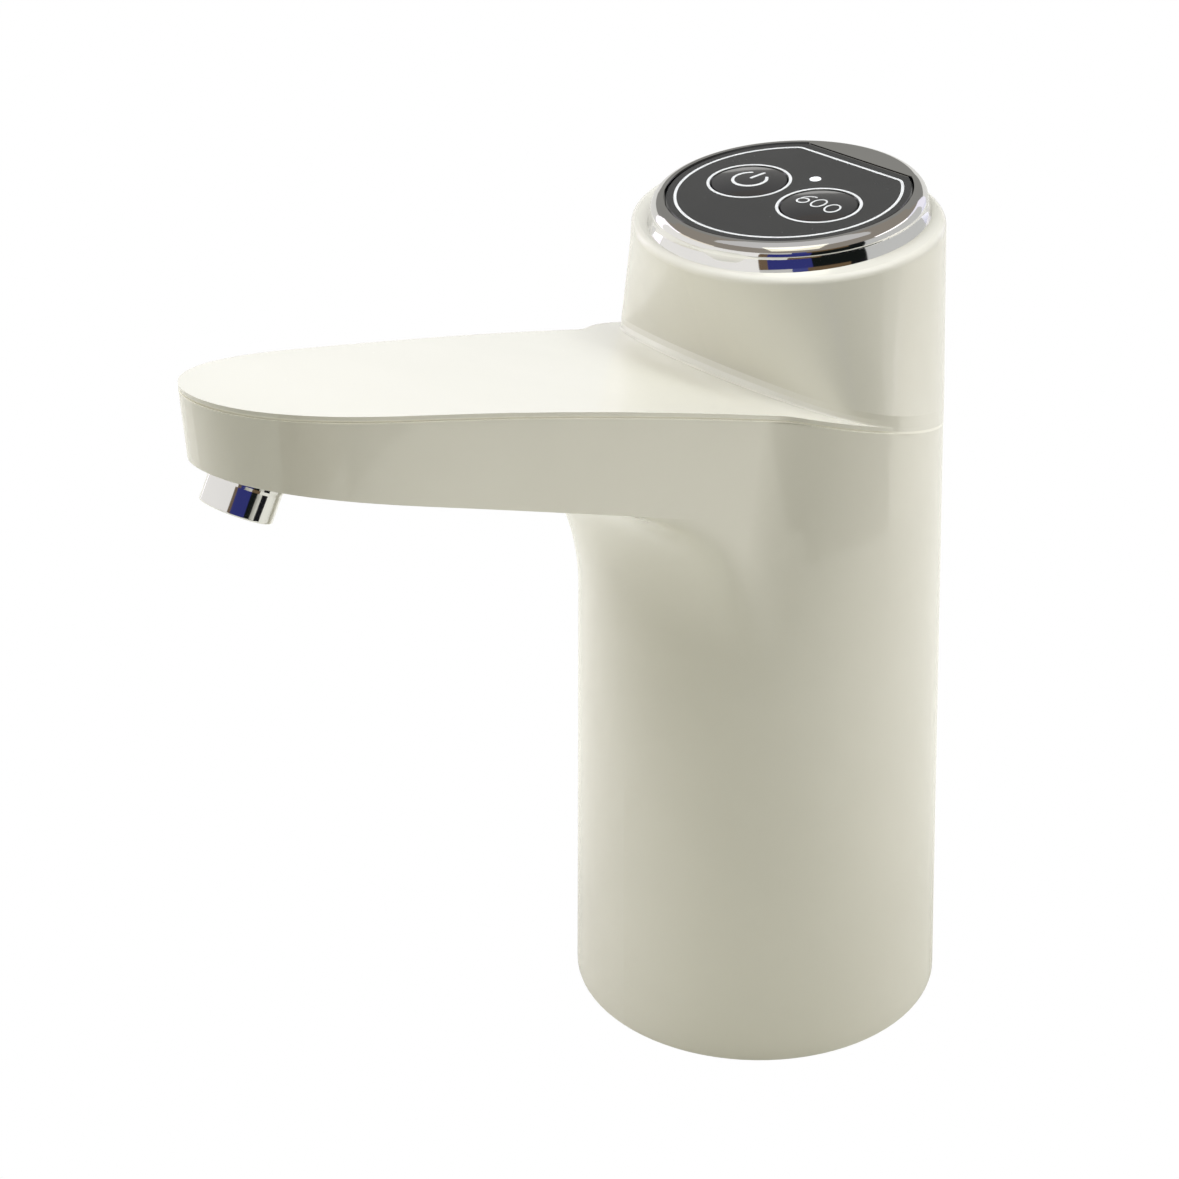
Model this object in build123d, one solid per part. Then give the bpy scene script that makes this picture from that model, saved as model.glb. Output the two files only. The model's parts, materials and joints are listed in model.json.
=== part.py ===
from build123d import *
from math import atan, atan2, cos, degrees, pi, radians, sin, sqrt, tan
import os

# Electric pump that stands on the neck of a large water bottle. Millimetres, +Z up.
# The origin is on the body's axis, on the plane that the foot of the body stands on.
# The spout points along +X, and the outside is symmetric about the XZ plane.
# A cut runs 1 mm past the piece that it cuts.

# ---------------------------------------------------------------- driving sizes
# Body
body_foot_r = 35.0
body_draft = 1.23
wall = 2.4
section_points = 24
lid_shy = 0.05
ledge_r = 28.0
ledge_thick = 2.0
ledge_boss = 9.0

# Spout: its top face is a shallow arc that climbs outwards, its underside is a plane
spout_reach = 119.0
spout_top_z = 124.7
spout_rise = 0.328
spout_crown = 0.000446
spout_under_z = 103.6
spout_under_rise = 0.349
spout_draft = 3.0
spout_stations = ((0.0, 28.6), (42.0, 23.0), (84.0, 18.0), (103.5, 15.0), (114.5, 9.2))
spout_blend = 10.0

# Split between the two housings, and the fine groove beside it
lid_edge = 0.7
groove_height = 0.4
groove_depth = 0.5
lid_step = 0.9
lip_height = 2.5
lip_wall = 1.4
fit_gap = 0.2

# Head: the upper body ends in an oval rim whose plane leans towards the spout
head_x = -6.5
head_z = 153.0
head_lean = 4.05
rim_front = 20.0
rim_half_width = 28.7
rim_round = 1.2
face_front = 12.8
face_squareness = 2.8
face_blend = 2.2
head_depth = 9.0

# Bezel, control panel and buttons, in the head's leaning frame
bezel_r = 24.1
bezel_edge = 1.9
bezel_lip_r = 22.4
bezel_top = 4.4
bezel_bulge = (0.45, 0.375)
bezel_neck_r = 23.5
bezel_undercut = 0.4
bezel_bore_r = 20.0
bezel_ledge = 1.5
bezel_skirt = 8.0
bezel_skirt_wall = 1.15
bezel_seat = 2.5
bezel_step = 0.6
bezel_gap = 0.2
panel_r = 21.5
panel_thick = 2.0
panel_inset = 0.2
panel_chord = 17.7
panel_chamfer = 0.3
button_r = 6.6
button_offset = 8.5
button_forward = 1.15
button_crown = 0.5
button_gap = 0.2
button_sunk = 0.1
button_flange = 0.8
button_flange_thick = 1.0
button_boss_r = 2.2
button_travel = 0.8
light_r = 1.0
light_back = 6.7
light_flange = 0.8
light_flange_thick = 1.0
lamp_side = 1.6
lamp_height = 0.8
lamp_gap = 0.2

# Switches and the board that carries them
switch_side = 6.0
switch_height = 3.5
switch_floor = 0.5
stem_r = 1.7
stem_gap = 0.12
stem_length = 2.8
board_thick = 1.6
button_board_r = 21.5
button_board_top = -4.2
button_post_ring = 19.2
button_post_r = 2.3
button_post_count = 3
button_post_hole = 4.0

# Neck socket
bottle_neck_d = 55.0
neck_gap = 0.3
socket_depth = 24.0
gasket_wall = 2.8
gasket_rib = 1.3
gasket_ribs = 4
neck_grip = 0.2
grip_from = 14.0
grip_taper = 1.5
gasket_seat_r = 24.5
gasket_seat = 2.6

# Base plate and inlet
base_plate_thick = 3.0
base_plate_gap = 0.3
ledge_screw_ring = 26.5
ledge_screw_count = 3
frame_screw_ring = 20.0
frame_screw_angle = 65.0
frame_post_height = 7.0
hose_bore_d = 8.0
inlet_bore_r = 2.5
inlet_length = 11.6
inlet_flange_r = 7.6
inlet_flange = 1.2
inlet_body_r = 5.5
barb_rise = 0.4
barb_land = 0.8
barb_count = 3
barb_tail = 2.6
seal_r = 0.7
seal_ring_r = 6.5

# Inner frame
frame_r = 27.5
frame_floor = 2.0
frame_web = 1.7
web_x = -10.1
web_half = 12.6
shelf_z = 62.0
shelf_thick = 3.0
shelf_edge = 1.1
board_shelf_z = 100.8
board_shelf_thick = 2.0
clip_gap = 0.15
clip_wall = 1.6
clip_height = 6.0
clip_places = (0.2, 0.75)
clamp_place = 0.62
board_shelf_margin = 4.0
board_post_drop = 3.0

# Battery: a standard 18650 cell
cell_r = 9.15
cell_length = 65.0
cell_x = -20.4
cell_button_r = 3.0
cell_button_height = 0.6
cell_edge = 0.8
tab_thick = 0.2
tab_width = 6.0
tab_end_gap = 2.0

# Motor: a standard 24.4 mm can
motor_x = 3.4
motor_r = 12.2
motor_length = 31.0
motor_wall = 0.9
motor_cap = 3.6
motor_screw_ring = 8.0
motor_boss_r = 3.1
motor_boss = 1.5
motor_boss_inside = 1.5
motor_edge = 0.8
motor_cap_plug = 1.5
motor_cap_pocket = 1.2
shaft_r = 1.15
shaft_gap = 0.08
armature_r = 8.6
armature_poles = 3
armature_from = 5.0
armature_to = 21.0
armature_shoe = 1.6
armature_slot = 2.2
armature_web = 2.8
armature_hub_r = 3.6
winding_from = 3.4
winding_width = 5.8
winding_over = 1.2
shaft_end = 0.6
magnet_thick = 2.0
magnet_from = 4.0
magnet_to = 22.0
magnet_split = 7.0
commutator_r = 2.6
commutator_gap = 0.6

# Gear pump
gear_module = 1.0
gear_teeth = 12
gear_addendum = 0.94
gear_dedendum = 1.25
gear_pressure = 20.0
gear_thinning = 0.14
gear_spread = 0.15
gear_tip_gap = 0.15
gear_side_gap = 0.1
flank_start = 0.05
gear_depth = 6.2
pump_wall = 3.3
pump_roof = 4.5
pump_cover_thick = 3.0
pump_gasket_thick = 0.3
idler_pin_r = 1.5
idler_pin_bite = 2.0
port_bore_r = 1.5
port_offset = 5.2
port_length = 3.4
port_pocket = 0.8
shaft_seal_r = 4.0
shaft_seal_height = 2.4

# Silicone tubes
tube_bore_r = 2.25
tube_wall = 1.25
tube_gap = 0.1
tube_straight = 2.0
spigot_gap = 0.05
riser_x = 23.6
riser_bend = 5.6
tube_bend = 18.0
inlet_bend = 5.0
riser_top = 119.0
spout_rise_x = 46.0
spout_swing = 0.4
elbow_run_in = 6.0

# Nozzle and the elbow that feeds it
nozzle_r = 6.0
nozzle_taper = 0.1
nozzle_plain = 4.1
nozzle_step = 0.5
mouth_round = 0.3
nozzle_bore_r = 4.6
nozzle_reach = 6.6
nozzle_tilt = 29.0
nozzle_root_x = 109.6
nozzle_boss_r = 7.4
nozzle_boss = 3.8
nozzle_seal = 0.5
liner_wall = 1.1
liner_length = 4.0
liner_inset = 0.5
elbow_flange_r = 7.2
elbow_flange = 1.0
elbow_height = 4.9
elbow_raise = 0.6
elbow_neck = 1.5
elbow_neck_gap = 0.1
elbow_bore_r = 2.5
elbow_r = 5.0
elbow_spigot = 11.5
elbow_clear = 7.7
elbow_slope = 16.4

# Main board and charging socket
main_board_back = -27.6
main_board_front = 5.0
main_board_width = 23.0
board_screw_x = -7.0
board_screw_y = 8.0
usb_width = 8.94
usb_height = 3.26
usb_length = 7.35
usb_wall = 0.3
usb_tongue = 0.7
usb_tongue_inset = 0.8
usb_tongue_side = 1.3
usb_back = 1.0
usb_front_x = -30.0
usb_gap = 0.25

# Fasteners: radii of the thread, head radius and head height
m3_r = 1.5
m3_head_r = 2.75
m3_head = 1.8
m3_flat_head = 1.6
m2_r = 1.0
m2_head_r = 1.9
m2_head = 1.2
m2_flat_head = 1.1
m2_post_r = 2.5
boss_r = 4.2
housing_screw_ring = 23.6
housing_screw_angle = 135.0
housing_post_z = 112.0
housing_post_height = 16.0
screw_bite = 8.0
screw_floor = 4.0
button_screw = 4.8
motor_screw = 3.4
board_screw = 4.5
pump_screw_gap = 0.5
thread_gap = 0.05
hole_gap = 0.2

# ---------------------------------------------------------------- derived places
split = lid_edge + groove_height
tube_r = tube_bore_r + tube_wall
spigot_r = tube_bore_r - spigot_gap
neck_bore_r = bottle_neck_d / 2 + neck_gap
base_plate_z = socket_depth + gasket_seat
frame_z = base_plate_z + base_plate_thick
floor_top = frame_z + frame_floor
cell_z = floor_top + tab_thick
cell_top = cell_z + cell_length
gear_pitch_r = gear_module * gear_teeth / 2
gear_tip_r = gear_pitch_r + gear_addendum
gear_root_r = gear_pitch_r - gear_dedendum
gear_centres = 2 * gear_pitch_r + gear_spread
chamber_r = gear_tip_r + gear_tip_gap
pump_r = chamber_r + pump_wall
chamber_top = shelf_z - pump_roof
cover_top = chamber_top - gear_depth
cover_z = cover_top - pump_cover_thick
port_z = (cover_top + chamber_top) / 2
motor_z = shelf_z + shelf_thick
motor_top = motor_z + motor_length
board_z = board_shelf_z + board_shelf_thick
board_top = board_z + board_thick
usb_z = board_top + usb_height / 2
drive_axis = (motor_x, 0.0)
idler_axis = (motor_x, gear_centres)
inlet_port = (motor_x - port_offset, gear_centres / 2)
outlet_port = (motor_x + port_offset, gear_centres / 2)
panel_top = bezel_top - panel_inset
panel_z = panel_top - panel_thick
flange_top = panel_z - fit_gap
flange_z = flange_top - button_flange_thick
switch_top = button_board_top + switch_height
stem_top = switch_top + button_travel + 0.1
button_places = {"power": (button_forward, -button_offset), "volume": (button_forward, button_offset)}
head = Plane(
    origin=(head_x, 0, head_z),
    x_dir=(cos(radians(head_lean)), 0, -sin(radians(head_lean))),
    z_dir=(sin(radians(head_lean)), 0, cos(radians(head_lean))),
)
motor_screw_x = (motor_x - motor_screw_ring, motor_x + motor_screw_ring)
outlet_end_x = riser_x - riser_bend - 0.2
elbow_centre = nozzle_boss + nozzle_seal + elbow_height / 2 + elbow_raise
nozzle_axis = Plane(
    origin=(nozzle_root_x, 0, spout_under_z + spout_under_rise * nozzle_root_x),
    x_dir=(cos(radians(nozzle_tilt)), 0, sin(radians(nozzle_tilt))),
    z_dir=(-sin(radians(nozzle_tilt)), 0, cos(radians(nozzle_tilt))),
).location


def around(r, count, start=0.0):
    """Places evenly spaced on a circle of radius r, from the angle start in degrees."""
    angles = [radians(start + 360 * i / count) for i in range(count)]
    return [(r * cos(a), r * sin(a)) for a in angles]


def mirrored(r, angle):
    """A place on a circle of radius r at the angle in degrees, and its mirror image."""
    x, y = r * cos(radians(angle)), r * sin(radians(angle))
    return [(x, y), (x, -y)]


ledge_screws = around(ledge_screw_ring, ledge_screw_count)
frame_screws = mirrored(frame_screw_ring, frame_screw_angle)
housing_screws = mirrored(housing_screw_ring, housing_screw_angle)
button_posts = around(button_post_ring, button_post_count)
pump_screw_ring = chamber_r + pump_wall / 2
pump_screws = [
    (axis[0] + pump_screw_ring * cos(radians(a)), axis[1] + pump_screw_ring * sin(radians(a)))
    for axis, angles in ((drive_axis, (225, 315)), (idler_axis, (45, 135)))
    for a in angles
]


def body_radius(z):
    """Outer radius of the tapered body at height z."""
    return body_foot_r - z * tan(radians(body_draft))


def spout_top(x):
    """Height of the spout's top face at x."""
    return spout_top_z + spout_rise * x - spout_crown * x * x


def spout_middle(x):
    """Height half way through the spout at x."""
    return (spout_top(x) + spout_under(x)) / 2


def spout_under(x):
    """Height of the spout's underside at x."""
    return spout_under_z + spout_under_rise * x


def save(shape, name):
    """Write one named piece, or a group of equal pieces, to its own STEP file."""
    piece = Compound(children=shape) if isinstance(shape, list) else shape
    export_step(piece, f"parts/{name}.step")


def ring(r_out, r_in, z_low, z_high, at=(0, 0)):
    """A plain tube standing on z_low."""
    height = z_high - z_low
    place = Location((at[0], at[1], z_low + height / 2))
    return place * Cylinder(r_out, height) - place * Cylinder(r_in, height + 1)


def rod(r, z_low, z_high, at=(0, 0)):
    """A plain round bar from z_low to z_high."""
    height = z_high - z_low
    return Location((at[0], at[1], z_low + height / 2)) * Cylinder(r, height)


def block(x, y, z):
    """A box from its (low, high) pairs."""
    return Location(((x[0] + x[1]) / 2, (y[0] + y[1]) / 2, (z[0] + z[1]) / 2)) * Box(
        x[1] - x[0], y[1] - y[0], z[1] - z[0]
    )


def turned(points):
    """A solid of revolution about Z from (radius, height) points."""
    profile = make_face(Plane.XZ * Polyline(*points, close=True))
    return revolve(profile, Axis.Z)


# ---------------------------------------------------------------- outer form
def outline_at(z, inset):
    """Plan outline of the spout at height z, drafted to be true at its top face."""
    flare = tan(radians(spout_draft))
    tip = spout_reach + (z - spout_top(spout_reach)) * flare - inset
    points = [(x, half + (z - spout_top(x)) * flare - inset, z) for x, half in spout_stations]
    fall = (points[1][1] - points[0][1]) / (points[1][0] - points[0][0])
    side = Edge.make_spline(
        [Vector(*p) for p in (*points, (tip, 0, z))], tangents=[Vector(1, fall, 0), Vector(0, -1, 0)]
    )
    other = side.mirror(Plane.XZ)
    x, y, _ = points[0]
    return Wire([side, other, Edge.make_line((x, y, z), (x, -y, z))])


def outer_form(inset=0.0, blend=0.0):
    """Body and spout as one solid, moved inwards by inset. The top is left tall, for a later cut."""
    low, high = 95.0, 165.0
    tall = high + 5
    body = Solid.make_cone(body_foot_r - inset, body_radius(tall) - inset, tall)
    spout = Solid.make_loft([outline_at(low, inset), outline_at(high, inset)], ruled=True)
    lift = inset * sqrt(1 + spout_under_rise**2)
    x_low, x_high = -60.0, 160.0
    under = Polyline(
        (x_low, 0, spout_under(x_low) + lift),
        (x_high, 0, spout_under(x_high) + lift),
        (x_high, 0, 0),
        (x_low, 0, 0),
        close=True,
    )
    spout = spout - extrude(make_face(under), 80, both=True)
    form = Part() + body + spout
    if blend:
        corner = [e for e in new_edges(body, spout, combined=form) if (e @ 0.5).Z < high - 1]
        form = fillet(corner, blend)
    return form


def below_top(depth):
    """Everything below the spout's top surface lowered by depth, along the whole object."""
    x_low, x_mid, x_high = -60.0, 45.0, 150.0
    arc = ThreePointArc(*((x, 0, spout_top(x) - depth) for x in (x_low, x_mid, x_high)))
    rest = Polyline(arc @ 1, (x_high, 0, -5), (x_low, 0, -5), arc @ 0)
    return extrude(make_face([*arc.edges(), *rest.edges()]), 80, both=True)


def head_section(inset):
    """Wire of the upper body's oval rim, in the rim plane."""
    front = rim_front - head_x - inset
    back = body_radius(head_z) + head_x - inset
    half = rim_half_width - inset
    points = []
    for i in range(section_points):
        a = 2 * pi * i / section_points
        reach = front if cos(a) > 0 else back
        points.append(head.from_local_coords(Vector(reach * cos(a), half * sin(a), 0)))
    return Wire([Edge.make_spline(points, periodic=True)])


def foot_section(inset, drop, flare=0.0):
    """Wire of the upper body near the split: round behind, with a flat face towards the spout.

    The outline follows the nearer of the body's circle and the flat face, with a soft corner.
    flare moves the flat face outwards, most at its middle and not at all where it meets the round.
    """
    points = []
    for i in range(section_points):
        a = 2 * pi * i / section_points
        c, s = cos(a), sin(a)
        r = body_radius(spout_top(0) + spout_rise * body_foot_r * c) - inset
        if c > 1e-6:
            face = (face_front - inset + flare * sqrt(c)) / c
            r = (r**-face_squareness + face**-face_squareness) ** (-1 / face_squareness)
        x = r * c
        points.append(Vector(x, r * s, spout_top_z + spout_rise * x - drop))
    return Wire([Edge.make_spline(points, periodic=True)])


def head_form(inset, foot_drop, cove=False):
    """The upper body, moved inwards by inset, from foot_drop below the spout's top face to the rim.

    Its walls are straight from the rim to just above the spout. With cove, a hollow round below
    them runs out into the spout's top face.
    """
    sections = [foot_section(inset, foot_drop, face_blend if cove else 0)]
    for angle in (0, 30, 60, 90) if cove else (90,):
        turn = radians(angle)
        rise, flare = face_blend * (1 - cos(turn)), face_blend * (1 - sin(turn))
        sections.append(foot_section(inset, -rise, flare))
    sections.append(head_section(inset))
    return Solid.make_loft(sections, ruled=True)


def below_mouth(form):
    """The part of a form that lies below the mouth's bore."""
    size = 4 * body_foot_r
    return form - head.location * block((-size, size), (-size, size), (-head_depth, size))


def stadium(r, z_low, z_high):
    """A slot-shaped block around both gear axes."""
    middle = (drive_axis[1] + idler_axis[1]) / 2
    shape = SlotCenterToCenter(gear_centres, 2 * r, rotation=90)
    return Location((motor_x, middle, z_low)) * extrude(shape, z_high - z_low)


def bar(r, start, end):
    """A round bar between two points."""
    line = Edge.make_line(start, end)
    return sweep(Plane(origin=start, z_dir=line % 0) * Circle(r), path=line)


def tube(points, bend):
    """A silicone tube along straight runs joined by bends, with its bore."""
    path = FilletPolyline(*points, radius=bend)
    section = Plane(origin=path @ 0, z_dir=path % 0) * (Circle(tube_r) - Circle(tube_bore_r))
    return sweep(section, path=path)


def screw(r, head_r, head_height, length, place, z, up=False):
    """A pan-head screw: head seated on z, shank going down, or up with the head below."""
    turn = 180 if up else 0
    body = rod(head_r, 0, head_height) + rod(r, -length, 0)
    edge = body.edges().filter_by(GeomType.CIRCLE).sort_by(Axis.Z)[-1]
    body = fillet(edge, head_height / 2)
    body -= Location((0, 0, head_height)) * extrude(Rectangle(head_r, head_r / 4), -head_height / 2)
    return Location((place[0], place[1], z), (turn, 0, 0)) * body


# ---------------------------------------------------------------- housings
def lower_housing():
    """Body shell with the spout's trough, its posts, the nozzle boss and the charging port."""
    form = outer_form(0, spout_blend)
    shell = form - outer_form(wall, spout_blend)
    inside = outer_form(wall / 2, spout_blend)
    shell += ring(body_foot_r, ledge_r, frame_z, frame_z + ledge_thick) & inside
    for place in ledge_screws:
        shell += rod(boss_r, frame_z, frame_z + ledge_boss, place) & inside
    for place, side in zip(housing_screws, (1, -1)):
        low = housing_post_z - housing_post_height
        gusset = Location((0, 0, 0), (0, 0, side * housing_screw_angle)) * block(
            (housing_screw_ring, body_foot_r), (-wall / 2, wall / 2), (low, low + housing_post_height / 2)
        )
        shell += rod(boss_r, low, housing_post_z, place) + (gusset & inside)
    shell += (nozzle_axis * rod(nozzle_boss_r, -nozzle_boss, nozzle_boss)) & inside
    shell &= below_top(split)
    shell -= nozzle_axis * rod(nozzle_r + fit_gap, -2 * nozzle_reach, nozzle_boss + 1)
    for place in housing_screws:
        shell -= rod(m3_r + thread_gap, housing_post_z - screw_bite - 1, housing_post_z + 1, place)
    for place in ledge_screws:
        shell -= rod(m3_r + thread_gap, frame_z - 1, frame_z + screw_bite, place)
    port = extrude(
        Plane.YZ.offset(usb_front_x + 1) * Location((0, usb_z))
        * SlotOverall(usb_width + 2 * usb_gap, usb_height + 2 * usb_gap),
        -8,
    )
    return shell - port


def upper_housing():
    """Upper body and the lid of the spout, with the mouth for the bezel and its screw wells."""
    size = 2 * spout_reach
    front = block((0, size), (-size, size), (0, size))
    back = block((-size, 0), (-size, size), (0, size))
    spout_side = block((face_front - wall, size), (-size, size), (0, size))
    lid = (outer_form(lid_shy, spout_blend) & front & below_top(0)) - below_top(lid_edge)
    lid += (outer_form(groove_depth, spout_blend) & front & below_top(lid_edge)) - below_top(split)
    body = head_form(0, split + 1, cove=True) - below_top(split)
    rim = max(body.edges().filter_by(lambda e: e.center().Z > head_z - 2), key=lambda e: e.length)
    body = fillet([rim], rim_round)
    step = outer_form(wall + fit_gap, spout_blend)
    core = outer_form(wall + fit_gap + lip_wall, spout_blend)
    plug = (step & spout_side & below_top(split)) - below_top(split + lid_step)
    lip = ((step - core) & below_top(split)) - below_top(split + lip_height)
    collar = (outer_form(wall / 2, spout_blend) - core) & back & below_top(split - lip_height)
    collar -= below_top(split)
    shell = body + lid - below_mouth(head_form(wall, split + 2 * lip_height))
    shell += plug + lip + collar
    for place, side in zip(housing_screws, (1, -1)):
        well = rod(boss_r, housing_post_z, head_z, place)
        gusset = Location((0, 0, 0), (0, 0, side * housing_screw_angle)) * block(
            (housing_screw_ring, body_foot_r), (-wall / 2, wall / 2), (spout_top(-body_foot_r), head_z)
        )
        inner = below_mouth(head_form(wall / 2, split + 1))
        shell += (well & (inner + rod(boss_r, housing_post_z, spout_top_z, place))) + (
            (gusset & inner) - below_top(split)
        )
    shell -= head.location * rod(bezel_neck_r + bezel_gap, -bezel_seat, 10)
    shell -= head.location * rod(bezel_neck_r - bezel_step + bezel_gap, -head_depth, 0)
    for place in housing_screws:
        shell -= rod(m3_head_r + hole_gap, housing_post_z + screw_floor, head_z + 9, place)
        shell -= rod(m3_r + hole_gap, housing_post_z - 1, head_z, place)
    return shell


# ---------------------------------------------------------------- control head
def behind_chord(offset):
    """Everything, in the head's frame, behind a straight line that far behind its middle."""
    size = 2 * bezel_r
    return block((-size, -offset), (-size, size), (-size, size))


def bezel():
    """Plated ring: rounded bevel, thin neck, seat for the panel, skirt, posts and D-shaped end."""
    skirt_r = bezel_neck_r - bezel_step
    inner_r = skirt_r - bezel_skirt_wall
    seat_r = panel_r + fit_gap
    ledge_z = panel_z - bezel_ledge
    lip, edge = (bezel_lip_r, 0, bezel_top), (bezel_r, 0, bezel_edge)
    middle = ((lip[0] + edge[0]) / 2 + bezel_bulge[0], 0, (lip[2] + edge[2]) / 2 + bezel_bulge[1])
    bevel = ThreePointArc(lip, middle, edge)
    rest = Polyline(
        edge,
        (bezel_neck_r, 0, bezel_edge - bezel_undercut),
        (bezel_neck_r, 0, -bezel_seat),
        (skirt_r, 0, -bezel_seat),
        (skirt_r, 0, -bezel_skirt),
        (inner_r, 0, -bezel_skirt),
        (inner_r, 0, ledge_z),
        (bezel_bore_r, 0, ledge_z),
        (bezel_bore_r, 0, panel_z),
        (seat_r, 0, panel_z),
        (seat_r, 0, bezel_top),
        lip,
    )
    body = revolve(make_face([*bevel.edges(), *rest.edges()]), Axis.Z)
    body += rod(seat_r + 0.1, ledge_z, bezel_top) & behind_chord(panel_chord)
    for place in button_posts:
        body += rod(button_post_r, button_board_top, ledge_z + 0.5, place)
    for place in button_posts:
        body -= rod(m2_r + thread_gap, button_board_top - 1, button_board_top + button_post_hole, place)
    return head.location * body


def control_panel():
    """Dark D-shaped plate with two button holes and the hole of the status light."""
    body = rod(panel_r, panel_z, panel_top)
    body -= behind_chord(panel_chord - fit_gap)
    for place in button_places.values():
        body -= rod(button_r + button_gap, panel_z - 1, panel_top + 1, place)
    body -= rod(light_r + spigot_gap, panel_z - 1, panel_top + 1, (-light_back, 0))
    top = body.edges().group_by(Axis.Z)[-1].filter_by(lambda e: e.length > 4 * button_r * pi / 2)
    return head.location * chamfer(top, panel_chamfer)


def button(place):
    """Domed cap with a flange that the panel holds back and a boss that meets the stem."""
    body = rod(button_r, flange_z, panel_top - button_sunk)
    dome_r = (button_r**2 + button_crown**2) / (2 * button_crown)
    dome = Location((0, 0, panel_top - button_sunk + button_crown - dome_r)) * Sphere(dome_r)
    body += dome & rod(button_r, panel_z, panel_top + 2)
    body += rod(button_r + button_flange, flange_z, flange_top)
    body += rod(button_boss_r, stem_top, flange_z)
    return head.location * Location((*place, 0)) * body


def stem(place):
    """Plunger of a push switch, which the button's boss rests on."""
    return head.location * rod(stem_r, stem_top - stem_length, stem_top, place)


def switch_bodies():
    """Square push switches with a blind hole for the stem."""
    bodies = []
    for x, y in button_places.values():
        half = switch_side / 2
        body = block((x - half, x + half), (y - half, y + half), (button_board_top, switch_top))
        body -= rod(stem_r + stem_gap, button_board_top + switch_floor, switch_top + 1, (x, y))
        bodies.append(head.location * body)
    return bodies


def button_board():
    """Round board that carries the switches and the status light."""
    body = rod(button_board_r, button_board_top - board_thick, button_board_top)
    for place in button_posts:
        body -= rod(m2_r + hole_gap, button_board_top - 3, button_board_top + 1, place)
    return head.location * body


def status_light():
    """Small lamp on the button board."""
    half = lamp_side / 2
    body = block((-half, half), (-half, half), (button_board_top, button_board_top + lamp_height))
    return head.location * Location((-light_back, 0, 0)) * body


def light_pipe():
    """Clear pin that carries the lamp's light to the panel's face."""
    body = rod(light_r, button_board_top + lamp_height + lamp_gap, panel_top)
    body += rod(light_r + light_flange, panel_z - light_flange_thick, panel_z)
    return head.location * Location((-light_back, 0, 0)) * body


# ---------------------------------------------------------------- base
def neck_gasket():
    """Ribbed soft sleeve that grips the bottle's neck, with a seat for the bottle's rim."""
    outer_r = neck_bore_r + gasket_wall
    grip_r = bottle_neck_d / 2 - neck_grip
    sleeve = turned([
        (neck_bore_r, 0),
        (outer_r, 0),
        (outer_r, socket_depth + 1),
        (grip_r, socket_depth + 1),
        (grip_r, grip_from + grip_taper),
        (neck_bore_r, grip_from),
    ])
    seat = ring(outer_r + gasket_rib, gasket_seat_r, socket_depth, base_plate_z)
    pitch = socket_depth / (gasket_ribs + 0.5)
    body = sleeve + seat
    for i in range(gasket_ribs):
        z = (i + 0.5) * pitch
        body += ring(outer_r + gasket_rib, outer_r - 0.5, z, z + gasket_rib)
    return body


def base_plate():
    """Round plate above the socket that carries the inlet and the frame."""
    body = rod(body_radius(frame_z) - wall - base_plate_gap, base_plate_z, frame_z)
    body -= rod(inlet_body_r + fit_gap, base_plate_z - 1, frame_z + 1)
    body -= ring(seal_ring_r + seal_r + 0.1, seal_ring_r - seal_r - 0.1, frame_z - 2 * seal_r, frame_z + 1)
    for place in ledge_screws:
        body -= rod(m3_r + hole_gap, base_plate_z - 1, frame_z + 1, place)
        body -= rod(m3_head_r + hole_gap, base_plate_z - 1, base_plate_z + m3_head, place)
    for place in frame_screws:
        body -= rod(m2_r + hole_gap, base_plate_z - 1, frame_z + 1, place)
        body -= rod(m2_head_r + hole_gap, base_plate_z - 1, base_plate_z + m2_head, place)
    return body


def inlet_fitting():
    """Barbed hose fitting below the plate, flange above it and a short spigot for the inner tube."""
    barb_r = hose_bore_d / 2
    low = base_plate_z - inlet_length
    crest_r = barb_r + barb_rise
    pitch = (inlet_length - barb_tail) / barb_count
    points = [(inlet_bore_r, low), (barb_r - barb_rise, low)]
    for i in range(barb_count):
        crest = low + i * pitch + pitch / 2
        points += [(crest_r, crest), (crest_r, crest + barb_land), (barb_r, crest + barb_land)]
        points += [(barb_r, low + (i + 1) * pitch)]
    points += [
        (barb_r, base_plate_z),
        (inlet_body_r, base_plate_z),
        (inlet_body_r, frame_z),
        (inlet_flange_r, frame_z),
        (inlet_flange_r, frame_z + inlet_flange),
        (spigot_r, frame_z + inlet_flange),
        (spigot_r, floor_top + port_length),
        (port_bore_r, floor_top + port_length),
        (port_bore_r, frame_z),
        (inlet_bore_r, base_plate_z),
    ]
    return turned(points)


def inlet_seal():
    """Soft ring between the inlet's flange and the plate."""
    return Location((0, 0, frame_z - seal_r)) * Torus(seal_ring_r, seal_r)


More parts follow.
